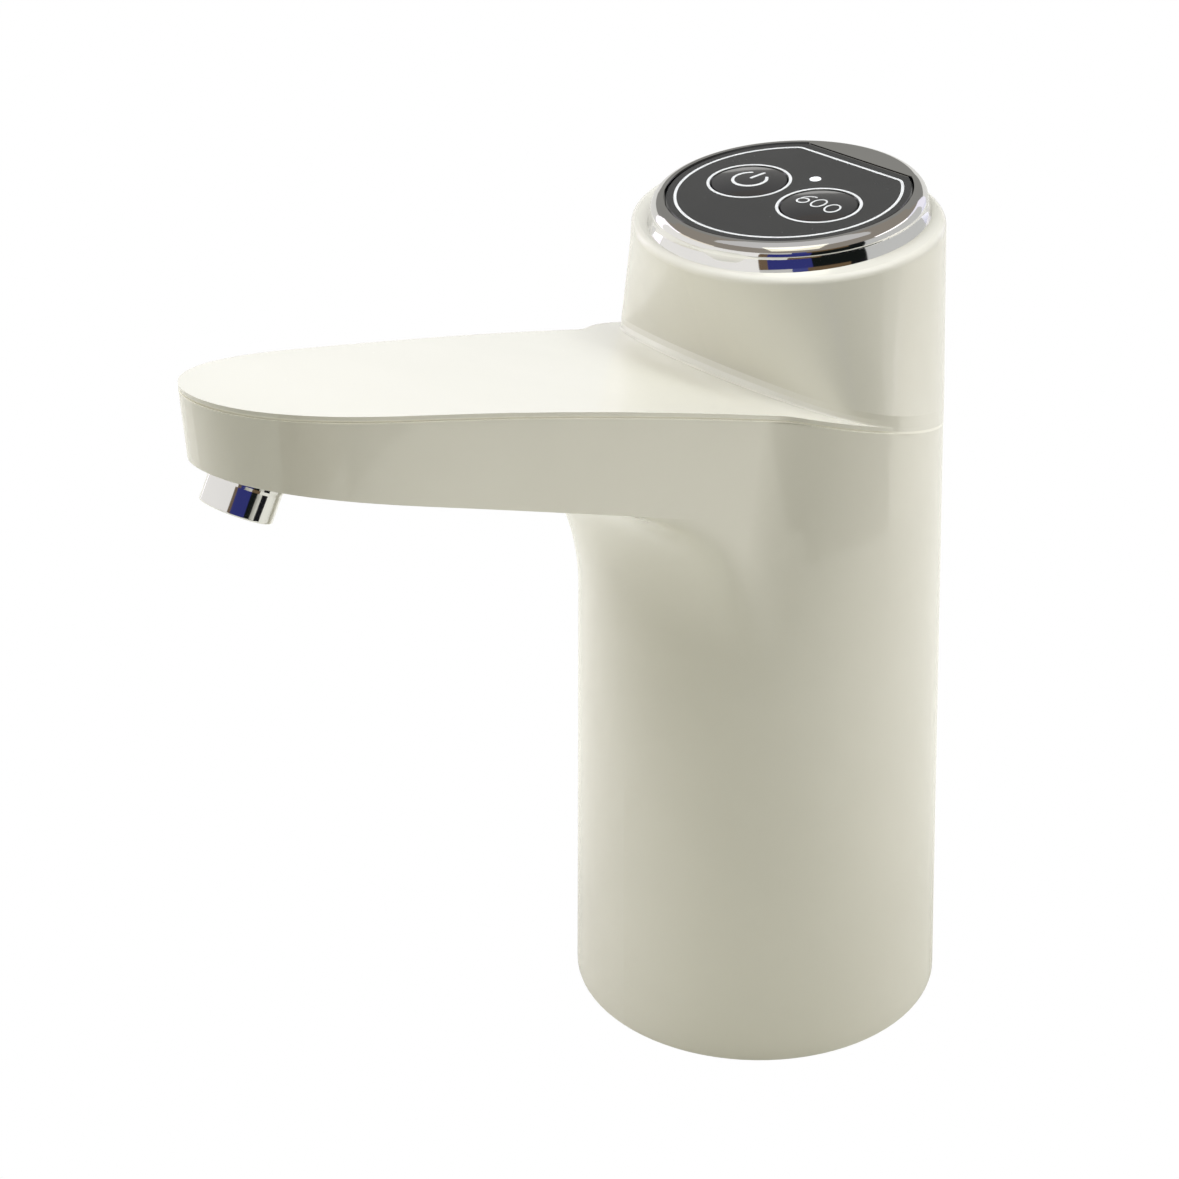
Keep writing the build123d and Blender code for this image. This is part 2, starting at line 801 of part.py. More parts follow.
# ---------------------------------------------------------------- frame and battery
def inner_frame():
    """Moulded chassis: floor, web, battery clips, motor shelf and clamp, and the board's shelf."""
    body = rod(frame_r, frame_z, floor_top)
    body -= rod(inlet_flange_r + fit_gap, frame_z - 1, frame_z + inlet_flange)
    body -= rod(tube_r + fit_gap, frame_z - 1, floor_top + 1)
    for place in ledge_screws:
        body -= rod(boss_r + 2 * fit_gap, frame_z - 1, floor_top + 1, place)
    for place in frame_screws:
        body += rod(m2_post_r, frame_z, floor_top + frame_post_height, place)
        body -= rod(m2_r + thread_gap, frame_z - 1, floor_top + frame_post_height + 1, place)
    half = frame_web / 2
    body += block((web_x - half, web_x + half), (-web_half, web_half), (floor_top, board_shelf_z))
    clip_r = cell_r + clip_gap
    for share in clip_places:
        z = cell_z + cell_length * share
        clip = ring(clip_r + clip_wall, clip_r, z, z + clip_height, (cell_x, 0))
        opening = (cell_x - 2 * cell_r, cell_x - cell_r / 4)
        body += clip - block(opening, (-2 * cell_r, 2 * cell_r), (z - 1, z + clip_height + 1))
    shelf = stadium(pump_r + shelf_edge, shelf_z, motor_z)
    shelf += rod(motor_r + shelf_edge, shelf_z, motor_z, drive_axis)
    shelf += block((web_x, motor_x), (-web_half, web_half), (shelf_z, motor_z))
    shelf -= rod(motor_boss_r + fit_gap, shelf_z - 1, motor_z + 1, drive_axis)
    for x in motor_screw_x:
        shelf -= rod(m2_r + hole_gap, shelf_z - 1, motor_z + 1, (x, 0))
        shelf -= rod(m2_head_r + hole_gap, shelf_z - 1, shelf_z + m2_head + fit_gap, (x, 0))
    for place in pump_screws:
        shelf -= rod(m2_r + thread_gap, shelf_z - 1, motor_z + 1, place)
    clamp_z = motor_z + motor_length * clamp_place
    clamp_r = motor_r + clip_gap
    body += shelf + ring(clamp_r + clip_wall, clamp_r, clamp_z, clamp_z + clip_height, drive_axis)
    top = block(
        (main_board_back, board_screw_x + board_shelf_margin),
        (-main_board_width / 2, main_board_width / 2),
        (board_shelf_z, board_z),
    )
    for side in (1, -1):
        place = (board_screw_x, side * board_screw_y)
        top += rod(m2_post_r, board_shelf_z - board_post_drop, board_z, place)
        top -= rod(m2_r + thread_gap, board_shelf_z - board_post_drop - 1, board_z + 1, place)
    return body + top


def battery_cell():
    """Standard cylindrical cell with its raised end."""
    body = rod(cell_r, cell_z, cell_top - cell_button_height, (cell_x, 0))
    body = fillet(body.edges().filter_by(GeomType.CIRCLE), cell_edge)
    return body + rod(cell_button_r, cell_top - 1, cell_top, (cell_x, 0))


def battery_tabs():
    """Thin metal strips on the two ends of the cell."""
    half = tab_width / 2
    low = block((cell_x - half, web_x - tab_end_gap), (-half, half), (floor_top, cell_z))
    high = block((cell_x - half, web_x - tab_end_gap), (-half, half), (cell_top, cell_top + tab_thick))
    return [low, high]


# ---------------------------------------------------------------- motor
def motor_can():
    """Drawn steel cup with a bearing boss on its closed end."""
    z_open = motor_top - motor_cap
    body = rod(motor_r, motor_z, z_open, drive_axis)
    body -= rod(motor_r - motor_wall, motor_z + motor_wall, z_open + 1, drive_axis)
    low_edge = body.edges().filter_by(GeomType.CIRCLE).group_by(Axis.Z)[0].sort_by(SortBy.LENGTH)[-1]
    body = fillet(low_edge, motor_edge)
    body += rod(motor_boss_r, motor_z - motor_boss, motor_z + motor_boss_inside, drive_axis)
    body -= rod(shaft_r + shaft_gap, motor_z - 3, motor_z + 3, drive_axis)
    for x in motor_screw_x:
        body -= rod(m2_r + thread_gap, motor_z - 1, motor_z + 2, (x, 0))
    return body


def motor_cap_end():
    """Plastic end cap with the rear bearing and two solder lugs."""
    z = motor_top - motor_cap
    body = rod(motor_r, z, motor_top, drive_axis)
    body += rod(motor_boss_r, motor_top - 1, motor_top + motor_boss, drive_axis)
    body += rod(motor_r - motor_wall - shaft_gap, z - motor_cap_plug, z, drive_axis)
    body -= rod(motor_r - 3 * motor_wall, z - motor_cap_plug - 1, z + motor_cap_pocket, drive_axis)
    body -= rod(shaft_r + shaft_gap, z - 3, motor_top + 5, drive_axis)
    return body


def motor_magnets():
    """Two curved magnets inside the can."""
    outer = motor_r - motor_wall
    low, high = motor_z + magnet_from, motor_z + magnet_to
    reach = 2 * motor_r
    whole = ring(outer, outer - magnet_thick, low, high, drive_axis)
    halves = []
    for side in (1, -1):
        across = tuple(sorted((side * magnet_split / 2, side * reach)))
        half = block((motor_x - reach, motor_x + reach), across, (low - 1, high + 1))
        halves.append(whole & half)
    return halves


def motor_rotor():
    """Shaft with its wound three-pole armature and commutator."""
    low, high = motor_z + armature_from, motor_z + armature_to
    coil_low, coil_high = low - winding_over, high + winding_over
    slot, web, coil = armature_slot / 2, armature_web / 2, winding_width / 2
    body = rod(shaft_r, cover_top - idler_pin_bite + fit_gap, motor_top + motor_boss + shaft_end, drive_axis)
    pole = ring(armature_r, armature_r - armature_shoe, low, high)
    for x, y in around(armature_r, armature_poles, 180 / armature_poles):
        turn = Location((0, 0, 0), (0, 0, degrees(atan2(y, x))))
        pole -= turn * block((0, armature_r + 1), (-slot, slot), (low - 1, high + 1))
    for x, y in around(armature_r, armature_poles):
        turn = Location((0, 0, 0), (0, 0, degrees(atan2(y, x))))
        pole += turn * block((0, armature_r - 1), (-web, web), (low, high))
        pole += turn * block((winding_from, armature_r - 2), (-coil, coil), (coil_low, coil_high))
    pole += rod(armature_hub_r, coil_low, coil_high)
    body += Location((motor_x, 0, 0)) * pole
    return body + rod(commutator_r, high, motor_top - motor_cap - commutator_gap, drive_axis)


# ---------------------------------------------------------------- gear pump
def gear(place, turn):
    """Involute spur gear: flanks are curves of the involute, with round tips and roots."""
    base_r = gear_pitch_r * cos(radians(gear_pressure))

    def involute(r):
        bend = sqrt(max((r / base_r) ** 2 - 1, 0))
        return bend - atan(bend)

    half_tooth = pi / (2 * gear_teeth) + involute(gear_pitch_r) - gear_thinning / (2 * gear_pitch_r)

    def flank(r, side, centre):
        angle = centre + side * (half_tooth - involute(r))
        return (r * cos(angle), r * sin(angle))

    start_r = max(base_r, gear_root_r + flank_start)
    mid_r = (start_r + gear_tip_r) / 2
    edges = []
    step = 2 * pi / gear_teeth
    for i in range(gear_teeth):
        centre = i * step + radians(turn)
        for side in (-1, 1):
            low, middle, high = (flank(r, side, centre) for r in (start_r, mid_r, gear_tip_r))
            root_angle = centre + side * half_tooth
            root = (gear_root_r * cos(root_angle), gear_root_r * sin(root_angle))
            edges += [Edge.make_line(root, low), Edge.make_three_point_arc(low, middle, high)]
            if side < 0:
                tip_low = high
            else:
                tip_mid = (gear_tip_r * cos(centre), gear_tip_r * sin(centre))
                edges.append(Edge.make_three_point_arc(tip_low, tip_mid, high))
        gap = centre + step / 2
        left = centre + half_tooth
        right = centre + step - half_tooth
        ends = [(gear_root_r * cos(a), gear_root_r * sin(a)) for a in (left, gap, right)]
        edges.append(Edge.make_three_point_arc(*ends))
    outline = Wire(Wire.combine(edges)[0])
    z_low, z_high = cover_top + gear_side_gap, chamber_top - gear_side_gap
    return Location((place[0], place[1], z_low)) * extrude(make_face(outline), z_high - z_low)


def pump_body():
    """Cup with the figure-of-eight chamber, the shaft's bore, the seal's pocket and the outlet."""
    low = cover_top + pump_gasket_thick
    body = stadium(pump_r, low, shelf_z)
    for axis in (drive_axis, idler_axis):
        body -= rod(chamber_r, low - 1, chamber_top, axis)
    body -= chamber_ports(low - 1, chamber_top)
    body -= rod(shaft_r + shaft_gap, low, shelf_z + 1, drive_axis)
    body -= rod(shaft_seal_r, shelf_z - shaft_seal_height, shelf_z + 1, drive_axis)
    body -= rod(idler_pin_r, low, chamber_top + idler_pin_bite, idler_axis)
    start, end = (outlet_port[0], outlet_port[1], port_z), (outlet_end_x, outlet_port[1], port_z)
    body += bar(spigot_r, (motor_x + pump_r - 1, outlet_port[1], port_z), end) - bar(port_bore_r, start, end)
    body -= bar(port_bore_r, start, (outlet_end_x + 1, outlet_port[1], port_z))
    for place in pump_screws:
        body -= rod(m2_r + hole_gap / 2, low - 1, shelf_z + 1, place)
    return body


def chamber_ports(z_low, z_high):
    """The two pockets beside the gears' mesh that the ports open into."""
    body = Part()
    for x, y in (inlet_port, outlet_port):
        body += rod(port_bore_r + port_pocket, z_low, z_high, (x, y))
    return body


def pump_gasket():
    """Thin seal between the cup and the cover."""
    low, high = cover_top, cover_top + pump_gasket_thick
    body = stadium(pump_r, low, high)
    for axis in (drive_axis, idler_axis):
        body -= rod(chamber_r, low - 1, high + 1, axis)
    body -= chamber_ports(low - 1, high + 1)
    for place in pump_screws:
        body -= rod(m2_r + hole_gap / 2, low - 1, high + 1, place)
    return body


def pump_cover():
    """Flat cover with the inlet spigot and the lower ends of both axles."""
    body = stadium(pump_r, cover_z, cover_top)
    body += rod(spigot_r, cover_z - port_length, cover_z + 1, inlet_port)
    body -= rod(port_bore_r, cover_z - port_length - 1, cover_top + 1, inlet_port)
    body -= rod(shaft_r + shaft_gap, cover_top - idler_pin_bite, cover_top + 1, drive_axis)
    body -= rod(idler_pin_r, cover_top - idler_pin_bite, cover_top + 1, idler_axis)
    for place in pump_screws:
        body -= rod(m2_r + hole_gap / 2, cover_z - 1, cover_top + 1, place)
    return body


# ---------------------------------------------------------------- tubes and nozzle
def inlet_tube():
    """Short curved tube from the inlet up to the pump."""
    low, high = floor_top + fit_gap, cover_z - tube_gap
    x, y = inlet_port
    run = port_length + tube_straight
    return tube(((0, 0, low), (0, 0, low + run), (x, y, high - run), (x, y, high)), inlet_bend)


def outlet_tube():
    """Tube from the pump, up beside the motor and along the spout to the elbow."""
    y = outlet_port[1]
    centre = (nozzle_axis * Location((0, 0, elbow_centre))).position
    slope = radians(elbow_slope)
    along = Vector(cos(slope), 0, sin(slope))
    tip = centre - along * elbow_clear
    straight = centre - along * (elbow_spigot + elbow_run_in)
    points = (
        Vector(motor_x + pump_r + tube_gap, y, port_z),
        Vector(riser_x, y, port_z),
        Vector(riser_x, y, riser_top),
        Vector(spout_rise_x, y * spout_swing, spout_middle(spout_rise_x)),
        straight,
        tip,
    )
    return tube(points, (riser_bend, riser_bend, tube_bend, tube_bend))


def spout_elbow():
    """Elbow inside the spout's tip: side spigot for the tube, flange, and a neck into the nozzle."""
    low = nozzle_boss + nozzle_seal
    body = rod(elbow_flange_r, low, low + elbow_flange) + rod(elbow_r, low, low + elbow_height)
    body += rod(nozzle_bore_r - elbow_neck_gap, -elbow_neck, low)
    body = nozzle_axis * body
    centre = (nozzle_axis * Location((0, 0, elbow_centre))).position
    along = Vector(cos(radians(elbow_slope)), 0, sin(radians(elbow_slope)))
    far = centre - along * elbow_spigot
    body += bar(spigot_r, far, centre)
    body -= nozzle_axis * rod(elbow_bore_r, -elbow_neck - 1, elbow_centre + 1)
    return body - bar(port_bore_r, far - along, centre)


def spout_nozzle():
    """Plated tube that comes out of the spout's underside, slightly narrower where a hose goes on."""
    plain_r = nozzle_r - nozzle_taper
    shoulder = mouth_round + nozzle_plain - nozzle_reach
    body = turned([
        (nozzle_bore_r, -nozzle_reach),
        (plain_r, -nozzle_reach),
        (plain_r, shoulder),
        (nozzle_r, shoulder + nozzle_step),
        (nozzle_r, nozzle_boss),
        (nozzle_bore_r, nozzle_boss),
    ])
    mouth = body.edges().filter_by(GeomType.CIRCLE).group_by(Axis.Z)[0]
    return nozzle_axis * fillet(mouth, mouth_round)


def nozzle_liner():
    """Dark flow liner inside the nozzle's mouth."""
    low = -nozzle_reach + liner_inset
    return nozzle_axis * ring(nozzle_bore_r, nozzle_bore_r - liner_wall, low, low + liner_length)


def nozzle_washer():
    """Soft flat seal between the elbow's flange and the boss in the spout."""
    return nozzle_axis * ring(elbow_flange_r, nozzle_r + fit_gap, nozzle_boss, nozzle_boss + nozzle_seal)


# ---------------------------------------------------------------- boards
def main_board():
    """Board with the motor driver and the charger."""
    half = main_board_width / 2
    body = block((main_board_back, main_board_front), (-half, half), (board_z, board_top))
    for side in (1, -1):
        body -= rod(m2_r + hole_gap, board_z - 1, board_top + 1, (board_screw_x, side * board_screw_y))
    return body


def board_chips():
    """Parts soldered on the main board: (x, y, length, width, height)."""
    chips = (
        (-14.5, 5.5, 6.0, 5.0, 1.6),
        (-14.5, -5.0, 7.0, 7.0, 3.2),
        (-4.0, 0.0, 5.0, 4.0, 1.6),
        (2.0, 6.5, 4.5, 7.5, 5.0),
        (2.0, -6.5, 4.5, 7.5, 5.0),
    )
    return [
        block((x - length / 2, x + length / 2), (y - width / 2, y + width / 2), (board_top, board_top + height))
        for x, y, length, width, height in chips
    ]


def usb_socket():
    """Charging socket: a pressed shell with its tongue, open to the back."""
    front = Plane.YZ.offset(usb_front_x) * Location((0, usb_z))
    body = extrude(front * SlotOverall(usb_width, usb_height), usb_length)
    opening = SlotOverall(usb_width - 2 * usb_wall, usb_height - 2 * usb_wall)
    hollow = extrude(front * opening, usb_length - usb_back)
    tongue = block(
        (usb_front_x + usb_tongue_inset, usb_front_x + usb_length),
        (-usb_width / 2 + usb_tongue_side, usb_width / 2 - usb_tongue_side),
        (usb_z - usb_tongue / 2, usb_z + usb_tongue / 2),
    )
    return body - hollow + tongue


def build():
    """Make every piece and write it to its own file."""
    os.makedirs("parts", exist_ok=True)
    save(lower_housing(), "lower_housing")
    save(upper_housing(), "upper_housing")
    save(bezel(), "bezel_ring")
    save(control_panel(), "control_panel")
    for name, place in button_places.items():
        save(button(place), f"{name}_button")
        save(stem(place), f"{name}_switch_stem")
    save(switch_bodies(), "switch_bodies")
    save(button_board(), "button_board")
    save(status_light(), "status_light")
    save(light_pipe(), "light_pipe")
    board_low = button_board_top - board_thick
    save([head.location * screw(m2_r, m2_head_r, m2_head, button_screw, p, board_low, True)
          for p in button_posts], "button_board_screws")
    save([screw(m3_r, m3_head_r, m3_head, screw_floor + screw_bite, p, housing_post_z + screw_floor)
          for p in housing_screws], "housing_screws")
    save(neck_gasket(), "neck_gasket")
    save(base_plate(), "base_plate")
    save([screw(m3_r, m3_head_r, m3_flat_head, screw_bite, p, base_plate_z + m3_head, True)
          for p in ledge_screws], "base_screws")
    save([screw(m2_r, m2_head_r, m2_flat_head, screw_bite, p, base_plate_z + m2_head, True)
          for p in frame_screws], "frame_screws")
    save(inlet_fitting(), "inlet_fitting")
    save(inlet_seal(), "inlet_seal")
    save(inner_frame(), "inner_frame")
    save(battery_cell(), "battery_cell")
    save(battery_tabs(), "battery_tabs")
    save(motor_can(), "motor_can")
    save(motor_cap_end(), "motor_end_cap")
    save(motor_magnets(), "motor_magnets")
    save(motor_rotor(), "motor_rotor")
    save([screw(m2_r, m2_head_r, m2_head, motor_screw, (x, 0), shelf_z + m2_head + fit_gap, True)
          for x in motor_screw_x], "motor_screws")
    save(pump_body(), "pump_body")
    save(pump_gasket(), "pump_gasket")
    save(pump_cover(), "pump_cover")
    save(ring(shaft_seal_r, shaft_r + 2 * hole_gap, shelf_z - shaft_seal_height, shelf_z, drive_axis),
         "shaft_seal")
    save(gear(drive_axis, 90) - rod(shaft_r, cover_z, shelf_z, drive_axis), "drive_gear")
    save(gear(idler_axis, 90 + 180 / gear_teeth) - rod(idler_pin_r + shaft_gap, cover_z, shelf_z, idler_axis),
         "idler_gear")
    pin_low, pin_high = cover_top - idler_pin_bite, chamber_top + idler_pin_bite
    save(rod(idler_pin_r, pin_low, pin_high, idler_axis), "idler_pin")
    pump_screw = motor_z - cover_z - pump_screw_gap
    save([screw(m2_r, m2_head_r, m2_head, pump_screw, p, cover_z, True) for p in pump_screws], "pump_screws")
    save(inlet_tube(), "inlet_tube")
    save(outlet_tube(), "outlet_tube")
    save(spout_elbow(), "spout_elbow")
    save(spout_nozzle(), "spout_nozzle")
    save(nozzle_liner(), "nozzle_liner")
    save(nozzle_washer(), "nozzle_washer")
    save(main_board(), "main_board")
    save(board_chips(), "board_chips")
    save(usb_socket(), "usb_socket")
    save([screw(m2_r, m2_head_r, m2_head, board_screw, (board_screw_x, s * board_screw_y), board_top)
          for s in (1, -1)], "main_board_screws")


build()
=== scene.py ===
import json
import logging
import math
from dataclasses import dataclass, field
from enum import Enum
from typing import Callable, Optional, Sequence, Union

import bpy
import numpy as np
from mathutils import Matrix, Vector


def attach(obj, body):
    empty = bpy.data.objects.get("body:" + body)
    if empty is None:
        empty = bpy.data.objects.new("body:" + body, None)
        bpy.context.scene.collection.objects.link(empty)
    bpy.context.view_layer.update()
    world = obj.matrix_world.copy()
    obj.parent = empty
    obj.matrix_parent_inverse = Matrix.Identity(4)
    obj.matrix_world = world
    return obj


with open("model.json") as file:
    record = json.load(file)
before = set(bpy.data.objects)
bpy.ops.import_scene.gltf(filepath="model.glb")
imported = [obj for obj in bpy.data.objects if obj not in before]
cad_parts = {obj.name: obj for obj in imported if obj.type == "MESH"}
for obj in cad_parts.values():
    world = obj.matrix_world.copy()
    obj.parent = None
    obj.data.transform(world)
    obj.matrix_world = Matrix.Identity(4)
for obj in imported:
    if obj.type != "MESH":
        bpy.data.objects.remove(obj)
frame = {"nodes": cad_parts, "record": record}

LOG = logging.getLogger("scene")
MM = 0.001


# ---- shader graph helpers
class Socket:
    """Output socket of a node, on which arithmetic makes math nodes."""

    def __init__(self, graph: "Graph", link: bpy.types.NodeSocket) -> None:
        self.graph = graph
        self.link = link

    def __add__(self, other: Union["Socket", float]) -> "Socket":
        return self.graph.math("ADD", self, other)

    def __sub__(self, other: Union["Socket", float]) -> "Socket":
        return self.graph.math("SUBTRACT", self, other)

    def __rsub__(self, other: float) -> "Socket":
        return self.graph.math("SUBTRACT", other, self)

    def __mul__(self, other: Union["Socket", float]) -> "Socket":
        return self.graph.math("MULTIPLY", self, other)

    __radd__ = __add__
    __rmul__ = __mul__

    def smooth(self, low: float, high: float) -> "Socket":
        """Rises smoothly from 0 to 1 between two values, which may be given the other way round to make it fall.

        Args:
            low: value at which the result is 0.
            high: value at which the result is 1.

        Returns:
            The eased value.
        """
        inputs = {"Value": self, "From Min": low, "From Max": high}
        node = self.graph.node("ShaderNodeMapRange", inputs, interpolation_type="SMOOTHSTEP")
        return Socket(self.graph, node.outputs["Result"])


Value = Union[Socket, float, Sequence[float]]


class Graph:
    """Node tree of a material or of the world, emptied at first."""

    def __init__(self, tree: bpy.types.NodeTree) -> None:
        self.tree = tree
        self.tree.nodes.clear()

    def node(
        self, kind: str, inputs: Optional[dict[Union[str, int], Value]] = None, **settings: object
    ) -> bpy.types.Node:
        """Adds a node.

        Args:
            kind: Blender's type name of the node.
            inputs: constant or socket for each input, by the input's name or index.
            settings: attributes set on the node before its inputs.

        Returns:
            The new node.
        """
        made = self.tree.nodes.new(kind)
        for name, value in settings.items():
            setattr(made, name, value)
        for name, value in (inputs or {}).items():
            if isinstance(value, Socket):
                self.tree.links.new(value.link, made.inputs[name])
            else:
                made.inputs[name].default_value = value
        return made

    def math(self, operation: str, *values: Union[Socket, float]) -> Socket:
        """Adds a math node.

        Args:
            operation: Blender's name of the operation.
            values: its operands.

        Returns:
            The result.
        """
        return Socket(self, self.node("ShaderNodeMath", dict(enumerate(values)), operation=operation).outputs[0])

    def place(self) -> Socket:
        """Returns the point being shaded, in the object's own metres."""
        return Socket(self, self.node("ShaderNodeTexCoord").outputs["Object"])

    def axes(self, vector: Socket) -> tuple[Socket, Socket, Socket]:
        """Splits a vector.

        Args:
            vector: vector socket.

        Returns:
            Its X, Y and Z.
        """
        split = self.node("ShaderNodeSeparateXYZ", {0: vector})
        return tuple(Socket(self, output) for output in split.outputs)

    def noise(self, vector: Socket, scale: float, detail: float) -> Socket:
        """Adds a noise texture with values around 0.5.

        Args:
            vector: place to read the noise at.
            scale: repeats per metre.
            detail: octaves.

        Returns:
            The noise value.
        """
        return Socket(
            self, self.node("ShaderNodeTexNoise", {"Vector": vector, "Scale": scale, "Detail": detail}).outputs[0]
        )

    def cells(self, vector: Socket, scale: float) -> Socket:
        """Adds a cell texture and returns the distance to the nearest cell's centre.

        Args:
            vector: place to read the cells at.
            scale: cells per metre.

        Returns:
            Distance in cells.
        """
        return Socket(self, self.node("ShaderNodeTexVoronoi", {"Vector": vector, "Scale": scale}).outputs["Distance"])

    def mix(self, factor: Value, low: Value, high: Value) -> Socket:
        """Mixes two colours.

        Args:
            factor: 0 for the first colour, 1 for the second.
            low: first colour.
            high: second colour.

        Returns:
            The mixed colour.
        """
        return Socket(self, self.node("ShaderNodeMix", {0: factor, 6: low, 7: high}, data_type="RGBA").outputs[2])

    def bump(self, height: Socket, depth: float) -> Socket:
        """Adds a bump node.

        Args:
            height: height field from 0 to 1.
            depth: height in metres that 1 stands for.

        Returns:
            The bent normal.
        """
        return Socket(self, self.node("ShaderNodeBump", {"Height": height, "Distance": depth}).outputs[0])

    def by_ray(self, ray: str, otherwise: Socket, shown: Socket) -> Socket:
        """Shows one shader to a kind of ray and another one to all the rest.

        Args:
            ray: name of the ray, as the Light Path node has it.
            otherwise: shader for the rest.
            shown: shader for that kind of ray.

        Returns:
            The mixed shader.
        """
        path = Socket(self, self.node("ShaderNodeLightPath").outputs[ray])
        return Socket(self, self.node("ShaderNodeMixShader", {0: path, 1: otherwise, 2: shown}).outputs[0])

    def shader(self, kind: str, inputs: dict[Union[str, int], Value]) -> Socket:
        """Adds a shader node.

        Args:
            kind: Blender's type name of the node.
            inputs: constant or socket for each input.

        Returns:
            The shader.
        """
        return Socket(self, self.node(kind, inputs).outputs[0])

    def surface(self, shader: Socket, output: str = "ShaderNodeOutputMaterial") -> None:
        """Makes a shader the surface.

        Args:
            shader: the shader.
            output: Blender's type name of the closing node.
        """
        self.node(output, {"Surface": shader})


def new_material(name: str) -> tuple[bpy.types.Material, Graph]:
    """Makes a material with an empty node tree.

    Args:
        name: name of the material.

    Returns:
        The material and its graph.
    """
    material = bpy.data.materials.new(name)
    material.use_nodes = True
    return material, Graph(material.node_tree)


def opaque(color: Sequence[float]) -> tuple[float, float, float, float]:
    """Adds a full alpha to a colour.

    Args:
        color: red, green and blue.

    Returns:
        The colour with its alpha.
    """
    return (*color, 1.0)


BLACK = opaque((0.0, 0.0, 0.0))
WHITE = opaque((1.0, 1.0, 1.0))


# ---- outside of the body and the spout
@dataclass(frozen=True)
class Outside:
    """Outside of the body and the spout, in millimetres.

    Attributes:
        foot_r: radius of the body at its foot.
        draft: taper of the body in degrees.
        under_z: height of the spout's underside on the body's axis.
        under_rise: slope of the underside.
        top_z: height of the spout's top face on the body's axis.
        top_rise: slope of the top face.
        top_crown: how fast that slope falls off.
        root_half: half width of the spout on the body's axis.
        fall: how fast the half width falls off.
        straight_to: place along X up to which it does so evenly.
        curl: curvature of the side beyond that place.
        side_draft: taper of the spout's sides in degrees.
        split: height from the top face down to the seam.
        seam_high: depths below the top face between which the groove's upper edge lies.
        seam_low: depths between which its lower edge lies.
        soft: width over which the sides melt into the body.
        thinnest: smallest sine of an angle that a side is looked for at.
        steps: how often the place of a side is refined.
    """

    foot_r: float = 35.0
    draft: float = 1.23
    under_z: float = 103.6
    under_rise: float = 0.349
    top_z: float = 124.7
    top_rise: float = 0.328
    top_crown: float = 0.000446
    root_half: float = 28.6
    fall: float = 0.1333
    straight_to: float = 42.0
    curl: float = 0.00034
    side_draft: float = 3.0
    split: float = 1.2
    seam_high: tuple[float, float] = (0.6, 0.75)
    seam_low: tuple[float, float] = (1.05, 1.25)
    soft: float = 3.0
    thinnest: float = 0.05
    steps: int = 25

    @property
    def taper(self) -> float:
        """Slope of the body's wall."""
        return math.tan(math.radians(self.draft))

    def body_r(self, z: np.ndarray) -> np.ndarray:
        """Works out the body's radius at a height.

        Args:
            z: heights.

        Returns:
            Radii, as many as there are heights.
        """
        return self.foot_r - z * self.taper

    def top(self, x: np.ndarray) -> np.ndarray:
        """Works out the height of the spout's top face from its slope and its crown.

        Args:
            x: places along X.

        Returns:
            Heights, as many as there are places.
        """
        return self.top_z + self.top_rise * x - self.top_crown * x * x

    def reach(self, angle: np.ndarray, z: np.ndarray) -> np.ndarray:
        """Works out how far the outside is from the body's axis.

        The spout's side is found by walking along the ray until its y equals the half width there. The larger
        of side and body is taken, and where they differ by less than the softness the square of what is missing
        is added, which rounds the corner between them.

        Args:
            angle: angles from X in radians.
            z: heights.

        Returns:
            Distances, as many as angles and heights make together.
        """
        away = np.maximum(np.sin(np.abs(angle)), self.thinnest)
        lean = math.tan(math.radians(self.side_draft))
        side = np.full(np.broadcast(angle, z).shape, self.foot_r)
        for _ in range(self.steps):
            x = side * np.cos(angle)
            half = self.root_half - self.fall * x + self.curl * np.maximum(x - self.straight_to, 0) ** 2
            side = np.minimum((half + (z - self.top(x)) * lean) / away, 4 * self.foot_r)
        body = self.body_r(z)
        near = np.maximum(self.soft - np.abs(side - body), 0)
        return np.maximum(side, body) + near**2 / (4 * self.soft)


OUTSIDE = Outside()


# ---- finishes
@dataclass(frozen=True)
class Finish:
    """Surface of one material slot.

    Attributes:
        color: base colour, linear.
        shade: second colour of the slow variation.
        rough: mean roughness.
        rough_spread: how far the roughness varies.
        metal: metallic share.
        coat: weight of the clear outer layer.
        coat_rough: roughness of that layer.
        grain: repeats per metre of the fine surface texture.
        grain_depth: depth of that texture in metres.
        cloud: repeats per metre of the slow variation.
        dust: share of fine dust specks.
        emission: light given off.
        seam_glow: light in the fine groove between the housings.
        transmission: share of light that passes through.
    """

    color: tuple[float, float, float]
    shade: Optional[tuple[float, float, float]] = None
    rough: float = 0.35
    rough_spread: float = 0.05
    metal: float = 0.0
    coat: float = 0.0
    coat_rough: float = 0.03
    grain: float = 2500.0
    grain_depth: float = 0.0
    cloud: float = 35.0
    dust: float = 0.0
    emission: float = 0.0
    seam_glow: float = 0.0
    transmission: float = 0.0


